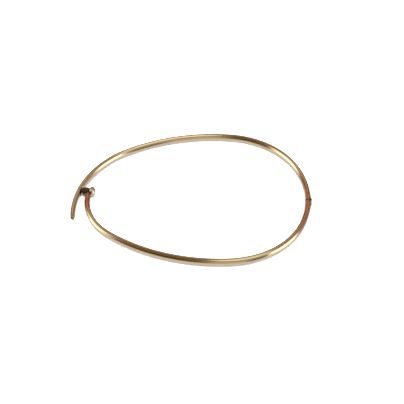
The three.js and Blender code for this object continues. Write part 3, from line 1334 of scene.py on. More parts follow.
    def rear_blank(self, name: str) -> bpy.types.Object:
        """The rear arm before the keeper's seat is cut."""
        line = self.plan.centreline(Side.REAR)
        return skin_rings(name, self._hinge_end(line) + self._tail(line, self._first_run))

    def front(self) -> bpy.types.Object:
        """The front arm, with spigots at the hinge and at the tip collar.

        Returns:
            The object.
        """
        line = self.plan.centreline(Side.FRONT)
        last_run = line.length - self.shoulder_round - self.step / 2
        rings = self._hinge_end(line) + self._run(line, self._first_run, last_run)
        rings += self._shoulder(line, line.length, -1.0)[::-1]
        rings += self._spigot(line, line.length, line.length + self.fits.collar_spigot_length)
        return skin_rings("front_wire", rings)


# ---------------------------------------------------------------- hinge


@dataclass
class Hinge:
    """Two ferrules, three stacked knuckles, a riveted pin and the ferrules' solder.

    Attributes:
        plan: the bangle's plan.
        fits: gaps and spigots.
        rear_oval: the rear ferrule's section at the seam.
        front_oval: the front ferrule's section at the seam.
        mouth_oval: both ferrules' section where the wire goes in.
        mouth_round: round of the mouth's edge.
        face_round: round of the seam's edge, and face_ease where it is halfway, as a share.
        centre_height: height of the centre knuckle and its two gaps.
        stack_height: height of all three knuckles.
        rim_chamfer: chamfer of a pin head's rim.
        solder_height: how thick the solder is at the mouth.
        solder_reach: how far it runs out along the wire.
        solder_waist: its hollow, as shares of the reach and of the height.
        solder_crest: how far it stays at its full height, as a share of the reach.
        solder_lap: how far it laps into the mouth, and solder_gap its gap to the metal.
        sides: points round a ferrule.
    """

    plan: Plan
    fits: Fits
    rear_oval: Oval = Oval(1.7 * MM, 2.22 * MM, 0.02 * MM)
    front_oval: Oval = Oval(1.9 * MM, 2.26 * MM, 0.14 * MM)
    mouth_oval: Oval = Oval(1.66 * MM, 2.16 * MM)
    mouth_round: float = 0.17 * MM
    face_round: float = 0.09 * MM
    face_ease: float = 0.3
    knuckle_radius: float = 0.52 * MM
    bore_radius: float = 0.33 * MM
    centre_height: float = 0.78 * MM
    stack_height: float = 2.4 * MM
    pin_radius: float = 0.28 * MM
    head_radius: float = 0.42 * MM
    head_height: float = 0.16 * MM
    rim_chamfer: float = 0.08 * MM
    knuckle_fillet: float = 0.05 * MM
    head_fillet: float = 0.06 * MM
    solder_height: float = 0.05 * MM
    solder_reach: float = 0.12 * MM
    solder_waist: tuple[float, float] = (0.45, 0.35)
    solder_crest: float = 0.1
    solder_lap: float = 0.01 * MM
    solder_gap: float = 0.004 * MM
    sides: int = 64

    def _channel_limit(self, distance: float, radius: float) -> float:
        """How far out a ferrule reaches at a distance from the seam, before the knuckles' channel."""
        if distance >= radius:
            return self.plan.hinge_axis_offset
        return self.plan.hinge_axis_offset - math.sqrt(radius**2 - distance**2)

    def ferrule(self, name: str, side: Side) -> bpy.types.Object:
        """A ferrule with a rounded mouth, a socket and the knuckles' channel.

        Args:
            name: the object's name.
            side: which half it belongs to.

        Returns:
            The object.
        """
        line = self.plan.centreline(side)
        oval = self.rear_oval if side is Side.REAR else self.front_oval
        channel = self.knuckle_radius + self.fits.running
        seam = self.fits.seat / 2
        eased = self.face_ease * self.face_round
        face = seam + self.face_round
        places = [(seam, self.face_round), (seam + eased, eased), (face, 0.0)]
        places += [(face + (channel - face) * sine, 0.0) for sine, _ in quarter_turn(CHANNEL_RINGS)[1:]]
        rings = []
        for distance, inset in places:
            cut = replace(oval.inset(inset), limit=self._channel_limit(distance, channel))
            rings.append(cut.ring(line.at(distance), self.sides))
        mouth = self.fits.ferrule_length
        for share in np.linspace(0.0, 1.0, TAPER_RINGS):
            distance = channel + share * (mouth - self.mouth_round - channel)
            narrowed = oval.towards(self.mouth_oval, share * share * (3 - 2 * share))
            rings.append(narrowed.ring(line.at(distance), self.sides))
        for sine, cosine in quarter_turn(ROUND_RINGS)[1:]:
            rounded = self.mouth_oval.inset(self.mouth_round * (1 - cosine))
            rings.append(rounded.ring(line.at(mouth - self.mouth_round * (1 - sine)), self.sides))
        socket = self.fits.spigot.inset(-self.fits.seat)
        bottom = self.fits.wire_start - self.fits.spigot_length - self.fits.seat
        rings.append(socket.ring(line.at(mouth), self.sides))
        rings.append(socket.ring(line.at(bottom), self.sides))
        return skin_rings(name, rings)

    def _lathe(self) -> Lathe:
        """A lathe on the hinge's axis."""
        return Lathe(self.plan.hinge_axis, Z_AXIS)

    def knuckle(self, name: str, low: float, high: float) -> bpy.types.Object:
        """A knuckle tube between two heights about the wire's mid height.

        Args:
            name: the object's name.
            low: its lower end.
            high: its upper end.

        Returns:
            The object.
        """
        outline = [
            (self.bore_radius, low), (self.knuckle_radius, low),
            (self.knuckle_radius, high), (self.bore_radius, high),
        ]
        return self._lathe().turn(name, rounded_corners(outline, self.knuckle_fillet, True), closed=True)

    def pin(self) -> bpy.types.Object:
        """The hinge pin, riveted over into a low head at both ends."""
        inner = self.stack_height / 2 + self.fits.seat / 2
        outer = inner + self.head_height
        rim = self.head_radius
        half = [
            (rim - self.rim_chamfer, outer), (rim, outer - self.rim_chamfer),
            (rim, inner), (self.pin_radius, inner),
        ]
        lower = [(radius, -height) for radius, height in half]
        outline = [(0.0, -outer)] + lower + half[::-1] + [(0.0, outer)]
        return self._lathe().turn("hinge_rivet", rounded_corners(outline, self.head_fillet, False))

    def solder(self, name: str, side: Side, wire: Oval) -> bpy.types.Object:
        """The thin solder fillet between a ferrule's mouth and the wire.

        Args:
            name: the object's name.
            side: which half it belongs to.
            wire: the wire's section.

        Returns:
            The object, a ring of metal round the wire.
        """
        height = self.solder_height
        reach = self.solder_reach
        along, above = self.solder_waist
        outline = [
            (-self.solder_lap, self.solder_gap), (reach, self.solder_gap),
            (along * reach, above * height), (self.solder_crest * reach, height),
            (-self.solder_lap, height),
        ]
        start = self.fits.ferrule_length + 2 * self.solder_gap
        return skin_band(name, self.plan.centreline(side), start, wire, outline, self.sides)

    def build(self, wardrobe: Wardrobe, wire: Oval) -> None:
        """Builds and dresses the hinge.

        Args:
            wardrobe: the materials.
            wire: the wire's section, for the solder.
        """
        start = self.plan.centreline(Side.REAR).at(0.0)
        axis = self.plan.hinge_axis
        low = axis - np.array([0.0, 0.0, self.stack_height / 2])
        # Painted shade: seam darkens the metal round the hinge's seam, foot under the knuckle stack, and joint over the
        # knuckles, which dims their highlights; slit is the dark line in the seam itself.
        seam = Stain(start.point, spread=1.7 * MM, strength=0.5, core=0.4 * MM)
        slit = Stain(start.point, spread=0.20 * MM, core=0.08 * MM, across=start.along)
        foot = Stain(low, spread=1.3 * MM, strength=0.9, core=0.5 * MM)
        joint = Stain(axis, spread=2.2 * MM, strength=0.62, core=1.6 * MM)
        heat = Stain(start.point, spread=12.0 * MM, core=6.0 * MM)
        on_ferrules = [seam, foot, slit]
        on_knuckles = [seam, foot, joint]
        centre = self.centre_height / 2
        top = self.stack_height / 2
        gap = self.fits.running / 2
        rear_ferrule = self.ferrule("rear_ferrule", Side.REAR)
        front_ferrule = self.ferrule("front_ferrule", Side.FRONT)
        rear_solder = self.solder("rear_ferrule_solder", Side.REAR, wire)
        front_solder = self.solder("front_ferrule_solder", Side.FRONT, wire)
        upper = self.knuckle("upper_knuckle", centre + gap, top)
        lower = self.knuckle("lower_knuckle", -top, -centre - gap)
        middle = self.knuckle("centre_knuckle", gap - centre, centre - gap)
        placed = (
            (rear_ferrule, REAR_HALF, ["rear_hinge_ferrule"], on_ferrules),
            (front_ferrule, FRONT_HALF, ["front_hinge_ferrule"], on_ferrules),
            (rear_solder, REAR_HALF, [], on_ferrules),
            (front_solder, FRONT_HALF, [], on_ferrules),
            (upper, REAR_HALF, ["rear_knuckle_upper"], on_knuckles),
            (lower, REAR_HALF, ["rear_knuckle_lower"], on_knuckles),
            (middle, FRONT_HALF, ["front_knuckle"], on_knuckles),
            (self.pin(), REAR_HALF, ["hinge_pin"], on_knuckles),
        )
        for piece, body, nodes, dirt_and_shade in placed:
            finish_surface(piece, dirt_and_shade, [heat])
            wardrobe.wear(piece, PIN_GOLD if "hinge_pin" in nodes else HINGE_GOLD)
            settle(piece, body, nodes)


# ---------------------------------------------------------------- catch


@dataclass
class Catch:
    """The tip collar, barrel, bush, bolt, ball knob and spring, and the keeper in the rear arm.

    Ends, tips, centres, flats, and the groove's bottom are places along X from the plan's origin.

    Attributes:
        plan: the bangle's plan.
        fits: gaps and spigots.
        spring_keep: how much of the spring's length is left when the bolt is pulled back.
        spring_steps: rings in a turn of the spring.
        spring_closing: how far the end turns close up, as a share of the length.
        chamfer_length: where the collar starts to narrow, from its mouth.
        neck_distance: where the collar has narrowed to the neck, from its mouth.
        knob_flat: how far round the ball its flat reaches, in radians.
        knob_room: the gap cut in the collar's neck round the ball.
        sink_depth: depth of the sink round the ball's hole, and sink_width its width.
        turned_line_places: where the barrel's turned lines stand, back from its knob end.
        past: how far a cutting tool reaches past the surface.
    """

    plan: Plan
    fits: Fits
    barrel_radius: float = 1.05 * MM
    barrel_nose_radius: float = 0.8 * MM
    barrel_bore: float = 0.72 * MM
    barrel_nose_end: float = -33.65 * MM
    barrel_knob_end: float = -31.75 * MM
    barrel_chamfer: float = 0.32 * MM
    lip: float = 0.3 * MM
    bush_thickness: float = 0.3 * MM
    bush_inset: float = 0.03 * MM
    nose_radius: float = 0.33 * MM
    nose_tip: float = -34.12 * MM
    nose_dome: float = 0.16 * MM
    flange_radius: float = 0.64 * MM
    flange_thickness: float = 0.25 * MM
    stem_radius: float = 0.24 * MM
    knob_radius: float = 1.375 * MM
    knob_half_length: float = 0.9 * MM
    knob_centre: float = -30.88 * MM
    knob_bore: float = 0.27 * MM
    knob_bore_depth: float = 1.1 * MM
    knob_room: float = 0.12 * MM
    knob_flat: float = 0.14 * math.pi
    knob_steps: int = 44
    room_steps: int = 32
    dome_steps: int = 9
    sink_depth: float = 0.02 * MM
    sink_width: float = 0.03 * MM
    fine_round: float = 0.03 * MM
    barrel_round: float = 0.04 * MM
    barrel_end_chamfer: float = 0.1 * MM
    keeper_round: float = 0.02 * MM
    spring_play: float = 0.02 * MM
    spring_sides: int = 20
    spring_wire: float = 0.05 * MM
    spring_coil: float = 0.45 * MM
    spring_turns: float = 3.5
    spring_keep: float = 0.53
    spring_steps: int = 40
    spring_closing: float = 0.09
    collar: Oval = Oval(1.7 * MM, 2.18 * MM)
    neck: Oval = Oval(1.0 * MM, 1.5 * MM, 0.12 * MM)
    neck_rings: int = 8
    neck_run: float = 0.1 * MM
    neck_distance: float = 1.2 * MM
    collar_round: float = 0.12 * MM
    collar_length: float = 2.0 * MM
    collar_sides: int = 64
    chamfer_length: float = 0.15 * MM
    keeper_flat: float = -33.8 * MM
    keeper_depth: float = 0.62 * MM
    keeper_below: float = 0.75 * MM
    keeper_above: float = 1.0 * MM
    keeper_half_height: float = 0.62 * MM
    groove_bottom: float = -34.22 * MM
    groove_top: float = 0.42 * MM
    groove_end: float = -3.4 * MM
    groove_half_height: float = 0.4 * MM
    turned_line_places: tuple[float, float] = (0.62 * MM, 0.42 * MM)
    turned_line_depth: float = 0.04 * MM
    turned_line_half_width: float = 0.05 * MM
    past: float = 1.0 * MM

    def _lathe(self, segments: int = 96) -> Lathe:
        """A lathe on the catch's axis, with distances along +X from the plan's origin."""
        return Lathe(self.plan.origin, X_AXIS, segments)

    def _block(self, name: str, low: Sequence[float], high: Sequence[float]) -> bpy.types.Object:
        """A block between two corners measured from the plan's origin."""
        return block(name, self.plan.origin + np.array(low), self.plan.origin + np.array(high))

    @property
    def flange_face(self) -> float:
        """Where the bolt's flange meets the barrel's lip."""
        return self.barrel_nose_end + self.lip + self.fits.seat

    @property
    def spring_face(self) -> float:
        """Where the spring pushes on the flange."""
        return self.flange_face + self.flange_thickness

    @property
    def bush_face(self) -> float:
        """Where the spring pushes on the bush."""
        return self.barrel_knob_end - self.bush_inset - self.bush_thickness

    def _nose_outline(self) -> list[tuple[float, float]]:
        """The outline of the bolt's domed nose, from its tip."""
        return [
            (self.nose_radius * sine, self.nose_tip + self.nose_dome * (1 - cosine))
            for sine, cosine in quarter_turn(self.dome_steps)
        ]

    def _knob_arc(self, radius: float, half_length: float, steps: int) -> list[tuple[float, float]]:
        """The flattened ball's outline, from its flat on the barrel's side to its far pole.

        Args:
            radius: the ball's radius.
            half_length: half its length along X.
            steps: points on it, but for the first.

        Returns:
            Pairs of radius and place along X.
        """
        angles = np.linspace(self.knob_flat, math.pi, steps + 1)
        arc = [(radius * math.sin(a), self.knob_centre - half_length * math.cos(a)) for a in angles]
        arc[-1] = (0.0, arc[-1][1])
        return arc

    def knob(self) -> bpy.types.Object:
        """The ball knob, with the stem's hole in its flat."""
        arc = self._knob_arc(self.knob_radius, self.knob_half_length, self.knob_steps)
        face = arc[0][1]
        hole = [
            (0.0, face + self.knob_bore_depth), (self.knob_bore, face + self.knob_bore_depth),
            (self.knob_bore, face + self.sink_depth), (self.knob_bore + self.sink_width, face),
        ]
        return self._lathe(FINE_SEGMENTS).turn("ball_knob", hole + arc)

    def barrel(self) -> bpy.types.Object:
        """The catch barrel: a tube with a lip at its nose end and two fine turned lines."""
        passage = self.nose_radius + self.fits.running
        lip_inner = self.barrel_nose_end + self.lip
        radius = self.barrel_radius
        end = self.barrel_knob_end
        chamfer = self.barrel_end_chamfer
        width = self.turned_line_half_width
        lines = []
        for back in self.turned_line_places:
            place = end - back
            lines += [
                (radius, place - width), (radius - self.turned_line_depth, place), (radius, place + width),
            ]
        outline = [
            (passage, self.barrel_nose_end), (self.barrel_nose_radius, self.barrel_nose_end),
            (radius, self.barrel_nose_end + self.barrel_chamfer),
            *lines,
            (radius, end - chamfer), (radius - chamfer, end),
            (self.barrel_bore, end), (self.barrel_bore, lip_inner), (passage, lip_inner),
        ]
        outline = rounded_corners(outline, self.barrel_round, True)
        return self._lathe(FINE_SEGMENTS).turn("catch_barrel", outline, closed=True)

    def bush(self) -> bpy.types.Object:
        """The bush that closes the barrel behind the spring."""
        passage = self.stem_radius + self.fits.running
        radius = self.barrel_bore - self.fits.seat
        outer = self.bush_face + self.bush_thickness
        outline = [(passage, self.bush_face), (radius, self.bush_face), (radius, outer), (passage, outer)]
        return self._lathe().turn("spring_bush", rounded_corners(outline, self.fine_round, True), closed=True)

    def bolt(self) -> bpy.types.Object:
        """The bolt: domed nose, flange and stem."""
        stem_end = self._knob_arc(self.knob_radius, self.knob_half_length, 4)[0][1]
        stem_end += self.knob_bore_depth - self.fits.seat
        body = [
            (self.nose_radius, self.flange_face), (self.flange_radius, self.flange_face),
            (self.flange_radius, self.spring_face), (self.stem_radius, self.spring_face),
            (self.stem_radius, stem_end), (0.0, stem_end),
        ]
        outline = self._nose_outline() + rounded_corners(body, self.fine_round, False)[1:]
        return self._lathe().turn("catch_bolt", outline)

    def spring(self) -> bpy.types.Object:
        """The coil spring between the bolt's flange and the bush, with closed end turns."""
        margin = self.spring_play + self.spring_wire
        start = self.spring_face + margin
        length = self.bush_face - margin - start
        steps = round(self.spring_turns * self.spring_steps)
        wire = Oval(2 * self.spring_wire, 2 * self.spring_wire)
        places = []
        for step in range(steps + 1):
            share = step / steps
            eased = share - self.spring_closing * math.sin(2 * math.pi * share)
            angle = 2 * math.pi * self.spring_turns * share
            out = np.array([0.0, math.cos(angle), math.sin(angle)])
            point = self.plan.origin + self.spring_coil * out
            point[0] += start + length * eased
            places.append((point, out))
        rings = []
        for number, (point, out) in enumerate(places):
            before = places[max(number - 1, 0)][0]
            after = places[min(number + 1, steps)][0]
            along = (after - before) / np.linalg.norm(after - before)
            rings.append(wire.ring(Station(point, out, along), self.spring_sides))
        return skin_rings("coil_spring", rings)

    def tip_collar(self) -> bpy.types.Object:
        """The collar at the front arm's tip, narrowing to a neck with a saddle for the barrel."""
        line = self.plan.centreline(Side.FRONT)
        start = line.length + self.fits.seat
        neck_start = start + self.neck_distance
        socket = self.fits.spigot.inset(-self.fits.seat)
        bottom = line.length + self.fits.collar_spigot_length + self.fits.seat
        places = [(bottom, socket), (start, socket)]
        for sine, cosine in quarter_turn(ROUND_RINGS):
            rounded = self.collar.inset(self.collar_round * (1 - sine))
            places.append((start + self.collar_round * (1 - cosine), rounded))
        narrowing = start + self.chamfer_length
        for share in np.linspace(0.0, 1.0, TAPER_RINGS):
            distance = narrowing + share * (neck_start - narrowing)
            places.append((distance, self.collar.towards(self.neck, share)))
        for distance in np.linspace(neck_start + self.neck_run, start + self.collar_length, self.neck_rings):
            places.append((distance, self.neck))
        rings = [oval.ring(line.at(distance), self.collar_sides) for distance, oval in places]
        piece = skin_rings("arm_tip_collar", rings)
        carve(piece, self._block("beyond", (-40 * MM, 0.0, -3 * MM), (-25 * MM, 4 * MM, 3 * MM)))
        rod_radius = self.barrel_radius + self.fits.seat
        rod_start = self.barrel_nose_end - self.past
        rod_end = self.barrel_knob_end + 3 * MM
        rod = [(0.0, rod_start), (rod_radius, rod_start), (rod_radius, rod_end), (0.0, rod_end)]
        carve(piece, self._lathe().turn("saddle_tool", rod))
        spare = self.knob_room
        room = self._knob_arc(self.knob_radius + spare, self.knob_half_length + spare, self.room_steps)
        room = [(0.0, self.barrel_knob_end), (room[0][0], self.barrel_knob_end)] + room
        carve(piece, self._lathe().turn("knob_room", room))
        soften(piece, self.fine_round)
        return piece

    def cut_rear_arm(self, arm: bpy.types.Object) -> None:
        """Files the flat, and cuts the keeper's pocket and the groove in the rear arm.

        Args:
            arm: the rear arm.
        """
        gap = self.fits.seat
        file_low = (self.keeper_flat, -2.2 * MM, -2 * MM)
        file_high = (self.keeper_flat + 1.2 * MM, 1.9 * MM, 2 * MM)
        carve(arm, self._block("flat_file", file_low, file_high))
        height = self.keeper_half_height + gap
        mill_low = (self.keeper_flat - self.keeper_depth - gap, -self.keeper_below - gap, -height)
        mill_high = (self.keeper_flat + self.past, self.keeper_above + gap, height)
        carve(arm, self._block("pocket_mill", mill_low, mill_high))
        carve(arm, self._groove())

    def _groove(self) -> bpy.types.Object:
        """The tool that cuts the groove for the bolt's nose."""
        low = (self.groove_bottom, self.groove_end, -self.groove_half_height)
        high = (self.keeper_flat + self.past, self.groove_top, self.groove_half_height)
        return self._block("groove_mill", low, high)

    def keeper(self, arms: WireArms) -> bpy.types.Object:
        """The keeper: a block let into the rear arm, flush with its form, with the groove in it.

        Args:
            arms: the wire arms, for the rear arm's form.

        Returns:
            The object.
        """
        low = (self.keeper_flat - self.keeper_depth, -self.keeper_below, -self.keeper_half_height)
        high = (self.keeper_flat, self.keeper_above, self.keeper_half_height)
        piece = self._block("keeper_inlay", low, high)
        piece.data.uv_layers.new(name="UVMap")
        carve(piece, arms.rear_blank("rear_form"), Cut.INSIDE)
        carve(piece, self._groove())
        soften(piece, self.keeper_round)
        return piece

    def build(self, wardrobe: Wardrobe, arms: WireArms) -> None:
        """Builds and dresses the catch.

        Args:
            wardrobe: the materials.
            arms: the wire arms.
        """
        spot = self.plan.spot
        # Painted shade: throat, saddle, stem and crook darken the metal between the catch's parts, at the barrel's
        # nose, under the barrel on the collar, round the knob's stem and between the knob and the collar.
        throat = Stain(spot(-33.5 * MM), spread=1.9 * MM)
        saddle = Stain(spot(-31.9 * MM, -0.9 * MM), spread=1.5 * MM)
        stem = Stain(spot(-31.7 * MM), spread=0.95 * MM, strength=0.9)
        crook = Stain(spot(-31.1 * MM, -1.5 * MM, 0.4 * MM), spread=1.1 * MM, core=0.4 * MM)
        heat = Stain(spot(-31.9 * MM, -3.0 * MM), spread=6.0 * MM, core=2.5 * MM)
        placed = (
            (self.tip_collar(), WIRE_GOLD, FRONT_HALF, ["tip_collar"], [saddle, crook]),
            (self.barrel(), SHADED_CATCH_GOLD, FRONT_HALF, ["bolt_barrel"], [throat, saddle]),
            (self.bush(), SHADED_CATCH_GOLD, FRONT_HALF, ["barrel_bush"], [stem]),
            (self.spring(), SPRING_STEEL, FRONT_HALF, ["catch_spring"], []),
            (self.bolt(), PIN_GOLD, BOLT, ["bolt_pin"], [throat]),
            (self.knob(), KNOB_GOLD, BOLT, ["pull_knob"], [stem]),
            (self.keeper(arms), SHADED_CATCH_GOLD, REAR_HALF, ["keeper_plate"], [throat]),
        )
        for piece, finish, body, nodes, stains in placed:
            finish_surface(piece, stains, [heat])
            wardrobe.wear(piece, finish)
            settle(piece, body, nodes)
            if "catch_spring" in nodes:
                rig.squash(piece, "bolt_pull", X_AXIS, spot(self.bush_face), keep=self.spring_keep)


# ---------------------------------------------------------------- stage, light and camera


@dataclass(frozen=True)
class Panel:
    """A soft-edged part of the room, as polished metal shows it.

    Attributes:
        heading: its middle, in degrees from straight behind the object towards its right.
        rise: its middle, in degrees above the horizon.
        half_width: half its width, in degrees.
        half_height: half its height, in degrees.
        edge: how far its edge fades, in degrees.
        light: the light that comes from it.
    """

    heading: float
    rise: float
    half_width: float
    half_height: float
    edge: float
    light: Colour

    def _inside(self, half: float, away: Value) -> Value:
        """How far inside one pair of edges an angle from the middle lies, from 0 to 1."""
        return ((half + self.edge / 2 - away) * (1 / self.edge)).within_unit().eased()

    def mask(self, heading: Value, rise: Value) -> Value:
        """How much of a direction it covers.

        Args:
            heading: the direction's heading, in degrees.
            rise: its height above the horizon, in degrees.

        Returns:
            0 outside it to 1 inside it.
        """
        sideways = abs((heading - self.heading).wrapped(180.0))
        upwards = abs(rise - self.rise)
        return self._inside(self.half_width, sideways) * self._inside(self.half_height, upwards)


@dataclass
class Studio:
    """A plain white table, soft light, and a room of windows and warm shade for the gold to reflect.

    Attributes:
        table_size: length of the table's sides.
        table_colour: the table's colour, and grain_colour that of its faint grain.
        grain_scale: cells of the grain in a metre, and grain_share how much it shows.
        table_roughness: the table's roughness, and table_gloss its specular level.
        fill_light: the even light that the room casts on everything that isn't polished.
        levels: heights in the room, in degrees, and its light at each where there is no panel.
    """

    table_size: float = 1.6
    table_colour: Colour = (0.90, 0.90, 0.90)
    grain_colour: Colour = (0.84, 0.84, 0.84)
    grain_scale: float = 30.0
    grain_share: float = 0.06
    table_roughness: float = 0.75
    table_gloss: float = 0.2
    fill_light: float = 0.98
    overhead_power: float = 9.0
    overhead_size: float = 0.5
    overhead_height: float = 0.6
    levels: tuple[tuple[float, Colour], ...] = (
        (-45.0, (0.66, 0.70, 0.74)),
        (-10.0, (0.34, 0.30, 0.27)),
        (22.0, (0.32, 0.27, 0.23)),
        (63.0, (0.26, 0.22, 0.18)),
    )
    left_ceiling: Panel = Panel(-105.0, 74.0, 72.0, 22.0, 16.0, (0.17, 0.13, 0.09))
    right_ceiling: Panel = Panel(96.0, 78.0, 74.0, 14.0, 14.0, (0.74, 0.74, 0.68))
    back_wall: Panel = Panel(0.0, 0.0, 55.0, 26.0, 22.0, (0.20, 0.165, 0.14))
    shade: Panel = Panel(-146.0, 18.0, 29.0, 46.0, 12.0, (0.15, 0.11, 0.06))
    deep_shade: Panel = Panel(-148.0, 2.0, 14.0, 12.0, 14.0, (0.04, 0.028, 0.01))
    left_window: Panel = Panel(-88.0, 4.0, 24.0, 32.0, 12.0, (1.15, 1.18, 1.20))
    left_sill: Panel = Panel(-84.0, -6.0, 17.0, 16.0, 16.0, (1.90, 1.95, 2.00))
    right_window: Panel = Panel(104.0, -8.0, 20.0, 26.0, 12.0, (1.80, 1.86, 1.95))
    skylight: Panel = Panel(145.0, 56.0, 36.0, 19.0, 10.0, (1.00, 1.02, 1.02))
    side_wall: Panel = Panel(132.0, 32.0, 17.0, 12.0, 12.0, (0.62, 0.64, 0.58))
    near_wall: Panel = Panel(166.0, 0.0, 15.0, 14.0, 12.0, (0.50, 0.47, 0.38))
    back_shade: Panel = Panel(-36.0, 12.0, 14.0, 14.0, 12.0, (0.13, 0.10, 0.085))
    back_light: Panel = Panel(-4.0, 42.0, 30.0, 12.0, 12.0, (0.48, 0.43, 0.38))
    right_wall: Panel = Panel(57.0, 17.0, 12.0, 16.0, 12.0, (0.38, 0.34, 0.30))
    left_glow: Panel = Panel(-38.0, -12.0, 10.0, 20.0, 14.0, (0.80, 0.68, 0.62))
    low_shade: Panel = Panel(136.0, -24.0, 12.0, 22.0, 10.0, (0.20, 0.20, 0.14))

    @property
    def panels(self) -> tuple[Panel, ...]:
        """The room's panels, from the furthest to the one in front."""
        return (
            self.left_ceiling, self.right_ceiling, self.back_wall, self.shade, self.deep_shade,
            self.left_window, self.left_sill, self.right_window, self.skylight, self.side_wall,
            self.near_wall, self.low_shade, self.back_shade, self.back_light,
            self.right_wall, self.left_glow,
        )

    def table(self) -> None:
        """The table the bangle lies on, with a faint grain; the gold doesn't show it."""
        half = self.table_size / 2
        corners = [(-half, -half, 0.0), (half, -half, 0.0), (half, half, 0.0), (-half, half, 0.0)]
        top = mesh_object("table_top", np.array(corners), [(0, 1, 2, 3)])
        material, kit = new_material("table_finish")
        place = kit.node("ShaderNodeTexCoord")
        grain = kit.noise(place.outputs["Object"], self.grain_scale, 4.0)
        shade = kit.mix(grain * self.grain_share, (*self.table_colour, 1.0), (*self.grain_colour, 1.0))
        shader = kit.node("ShaderNodeBsdfPrincipled", {}, {
            "Base Color": shade, "Roughness": self.table_roughness, "Specular IOR Level": self.table_gloss,
        })
        kit.node("ShaderNodeOutputMaterial", {}, {"Surface": shader.outputs[0]})
        top.data.materials.append(material)
        top.visible_glossy = False
        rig.stage(top)

    def surroundings(self) -> None:
        """The room: even white light on the table, and panels of light and shade for the gold."""
        world = bpy.data.worlds.new("studio_room")
        bpy.context.scene.world = world
        world.use_nodes = True
        kit = ShaderKit(world.node_tree)
        place = kit.node("ShaderNodeTexCoord")
        parts = kit.node("ShaderNodeSeparateXYZ", {}, {0: place.outputs["Generated"]})
        right, back, up = (Value(kit, output) for output in parts.outputs)
        heading = right.heading(back)
        rise = up.rise()
        stops = [(degrees / 180.0 + 0.5, light) for degrees, light in self.levels]
        height = (rise * (1 / 180.0) + 0.5).within_unit()
        levels = kit.node("ShaderNodeValToRGB", {"stops": stops}, {0: height})
        room = levels.outputs[0]
        for panel in self.panels:
            room = kit.mix(panel.mask(heading, rise), room, (*panel.light, 1.0))
        seen = kit.node("ShaderNodeLightPath")
        fill = self.fill_light
        shown = kit.mix(seen.outputs["Is Glossy Ray"], (fill, fill, fill, 1.0), room)
        background = kit.node("ShaderNodeBackground", {}, {"Color": shown, "Strength": 1.0})
        kit.node("ShaderNodeOutputWorld", {}, {"Surface": background.outputs[0]})

    def overhead(self) -> None:
        """A large soft light over the table that the gold doesn't show."""
        light = bpy.data.lights.new("overhead_soft", "AREA")
        light.shape = "SQUARE"
        light.size = self.overhead_size
        light.energy = self.overhead_power
        light.color = (1.0, 1.0, 1.0)
        lamp = bpy.data.objects.new("overhead_soft", light)
        bpy.context.scene.collection.objects.link(lamp)
        lamp.location = (0.0, 0.0, self.overhead_height)
        lamp.visible_glossy = False

    def build(self) -> None:
        """Sets the stage."""
        self.table()
        self.surroundings()
        self.overhead()
        settings = bpy.context.scene.view_settings
        settings.view_transform = "Standard"
        settings.look = "None"


@dataclass
class Viewpoint:
    """The camera: a close three-quarter view from above the front arm.

    Attributes:
        plan: the bangle's plan.
        azimuth: how far it stands round to the right of the front, in degrees.
        elevation: how far it stands above the table, in degrees.
        distance: from the point that it looks at.
        aim: that point in the plan.
        focal_length: in millimetres.
        sensor_width: in millimetres.
        nearest: the nearest that it sees.
    """

    plan: Plan
    azimuth: float = 1.5
    elevation: float = 43.0
    distance: float = 197.0 * MM
    aim: tuple[float, float] = (0.12 * MM, -3.62 * MM)
    focal_length: float = 63.4
    sensor_width: float = 36.0
    nearest: float = 0.005

    def build(self) -> None:
        """Places the camera and makes it the scene's own."""
        data = bpy.data.cameras.new("view_camera")
        data.lens = self.focal_length
        data.sensor_width = self.sensor_width
        data.clip_start = self.nearest
        data.dof.use_dof = False
        camera = bpy.data.objects.new("view_camera", data)
        bpy.context.scene.collection.objects.link(camera)
        turn = math.radians(self.azimuth)
        rise = math.radians(self.elevation)
        target = Vector(self.plan.origin) + Vector((*self.aim, 0.0))
        back = Vector((math.sin(turn) * math.cos(rise), -math.cos(turn) * math.cos(rise), math.sin(rise)))
        camera.location = target + self.distance * back
        camera.rotation_euler = (-back).to_track_quat("-Z", "Y").to_euler()
        bpy.context.scene.camera = camera


# ---------------------------------------------------------------- assembly


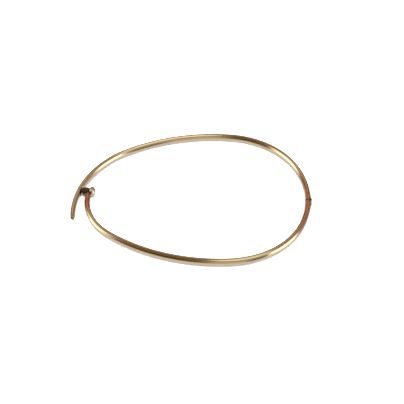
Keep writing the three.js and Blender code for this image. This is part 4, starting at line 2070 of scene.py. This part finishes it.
def write_sizes() -> None:
    """Writes the CAD model's box and the visual model's box."""
    boxes = {"cad": CAD_BOX, "visual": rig.bounds()}
    plain = {name: [[float(v) for v in corner] for corner in box] for name, box in boxes.items()}
    with open(SIZE_FILE, "w", encoding="utf-8") as file:
        json.dump(plain, file)


def main() -> None:
    """Builds the bangle, its stage and its camera."""
    logging.basicConfig(level=logging.INFO, format="%(name)s: %(message)s")
    plan = Plan()
    fits = Fits()
    wardrobe = Wardrobe()
    Viewpoint(plan).build()
    Studio().build()

    arms = WireArms(plan, fits)
    hinge = Hinge(plan, fits)
    catch = Catch(plan, fits)

    rear = arms.rear_blank("rear_wire")
    catch.cut_rear_arm(rear)
    front = arms.front()
    rear_line = plan.centreline(Side.REAR)
    front_line = plan.centreline(Side.FRONT)
    seam = rear_line.at(0.0).point
    tip = front_line.at(front_line.length).point
    tail_end = rear_line.at(rear_line.length).point
    # Painted shade: these stains darken the wires where they enter the ferrules, at the keeper's seat and round both
    # tips, which dims the highlight on the tail's tip.
    rear_dirt_and_shade = [
        Stain(rear_line.at(fits.wire_start).point, spread=1.2 * MM, strength=0.7),
        Stain(plan.spot(catch.keeper_flat, 0.1 * MM), spread=1.7 * MM, strength=0.6),
        Stain(tail_end, spread=1.5 * MM, strength=0.9, core=0.4 * MM),
    ]
    front_dirt_and_shade = [
        Stain(front_line.at(fits.wire_start).point, spread=1.2 * MM, strength=0.7),
        Stain(tip, spread=1.3 * MM, strength=0.9),
    ]
    rear_heat = [Stain(seam, spread=14.0 * MM, core=6.5 * MM)]
    front_heat = [
        Stain(seam, spread=18.0 * MM, core=9.0 * MM),
        Stain(tip, spread=9.5 * MM, core=3.5 * MM),
    ]
    placed = (
        (rear, REAR_HALF, "rear_arm", rear_dirt_and_shade, rear_heat),
        (front, FRONT_HALF, "front_arm", front_dirt_and_shade, front_heat),
    )
    for piece, body, node, dirt_and_shade, heat in placed:
        finish_surface(piece, dirt_and_shade, heat)
        wardrobe.wear(piece, WIRE_GOLD)
        settle(piece, body, [node])

    hinge.build(wardrobe, arms.wire)
    catch.build(wardrobe, arms)
    write_sizes()


if __name__ == "__main__":
    main()
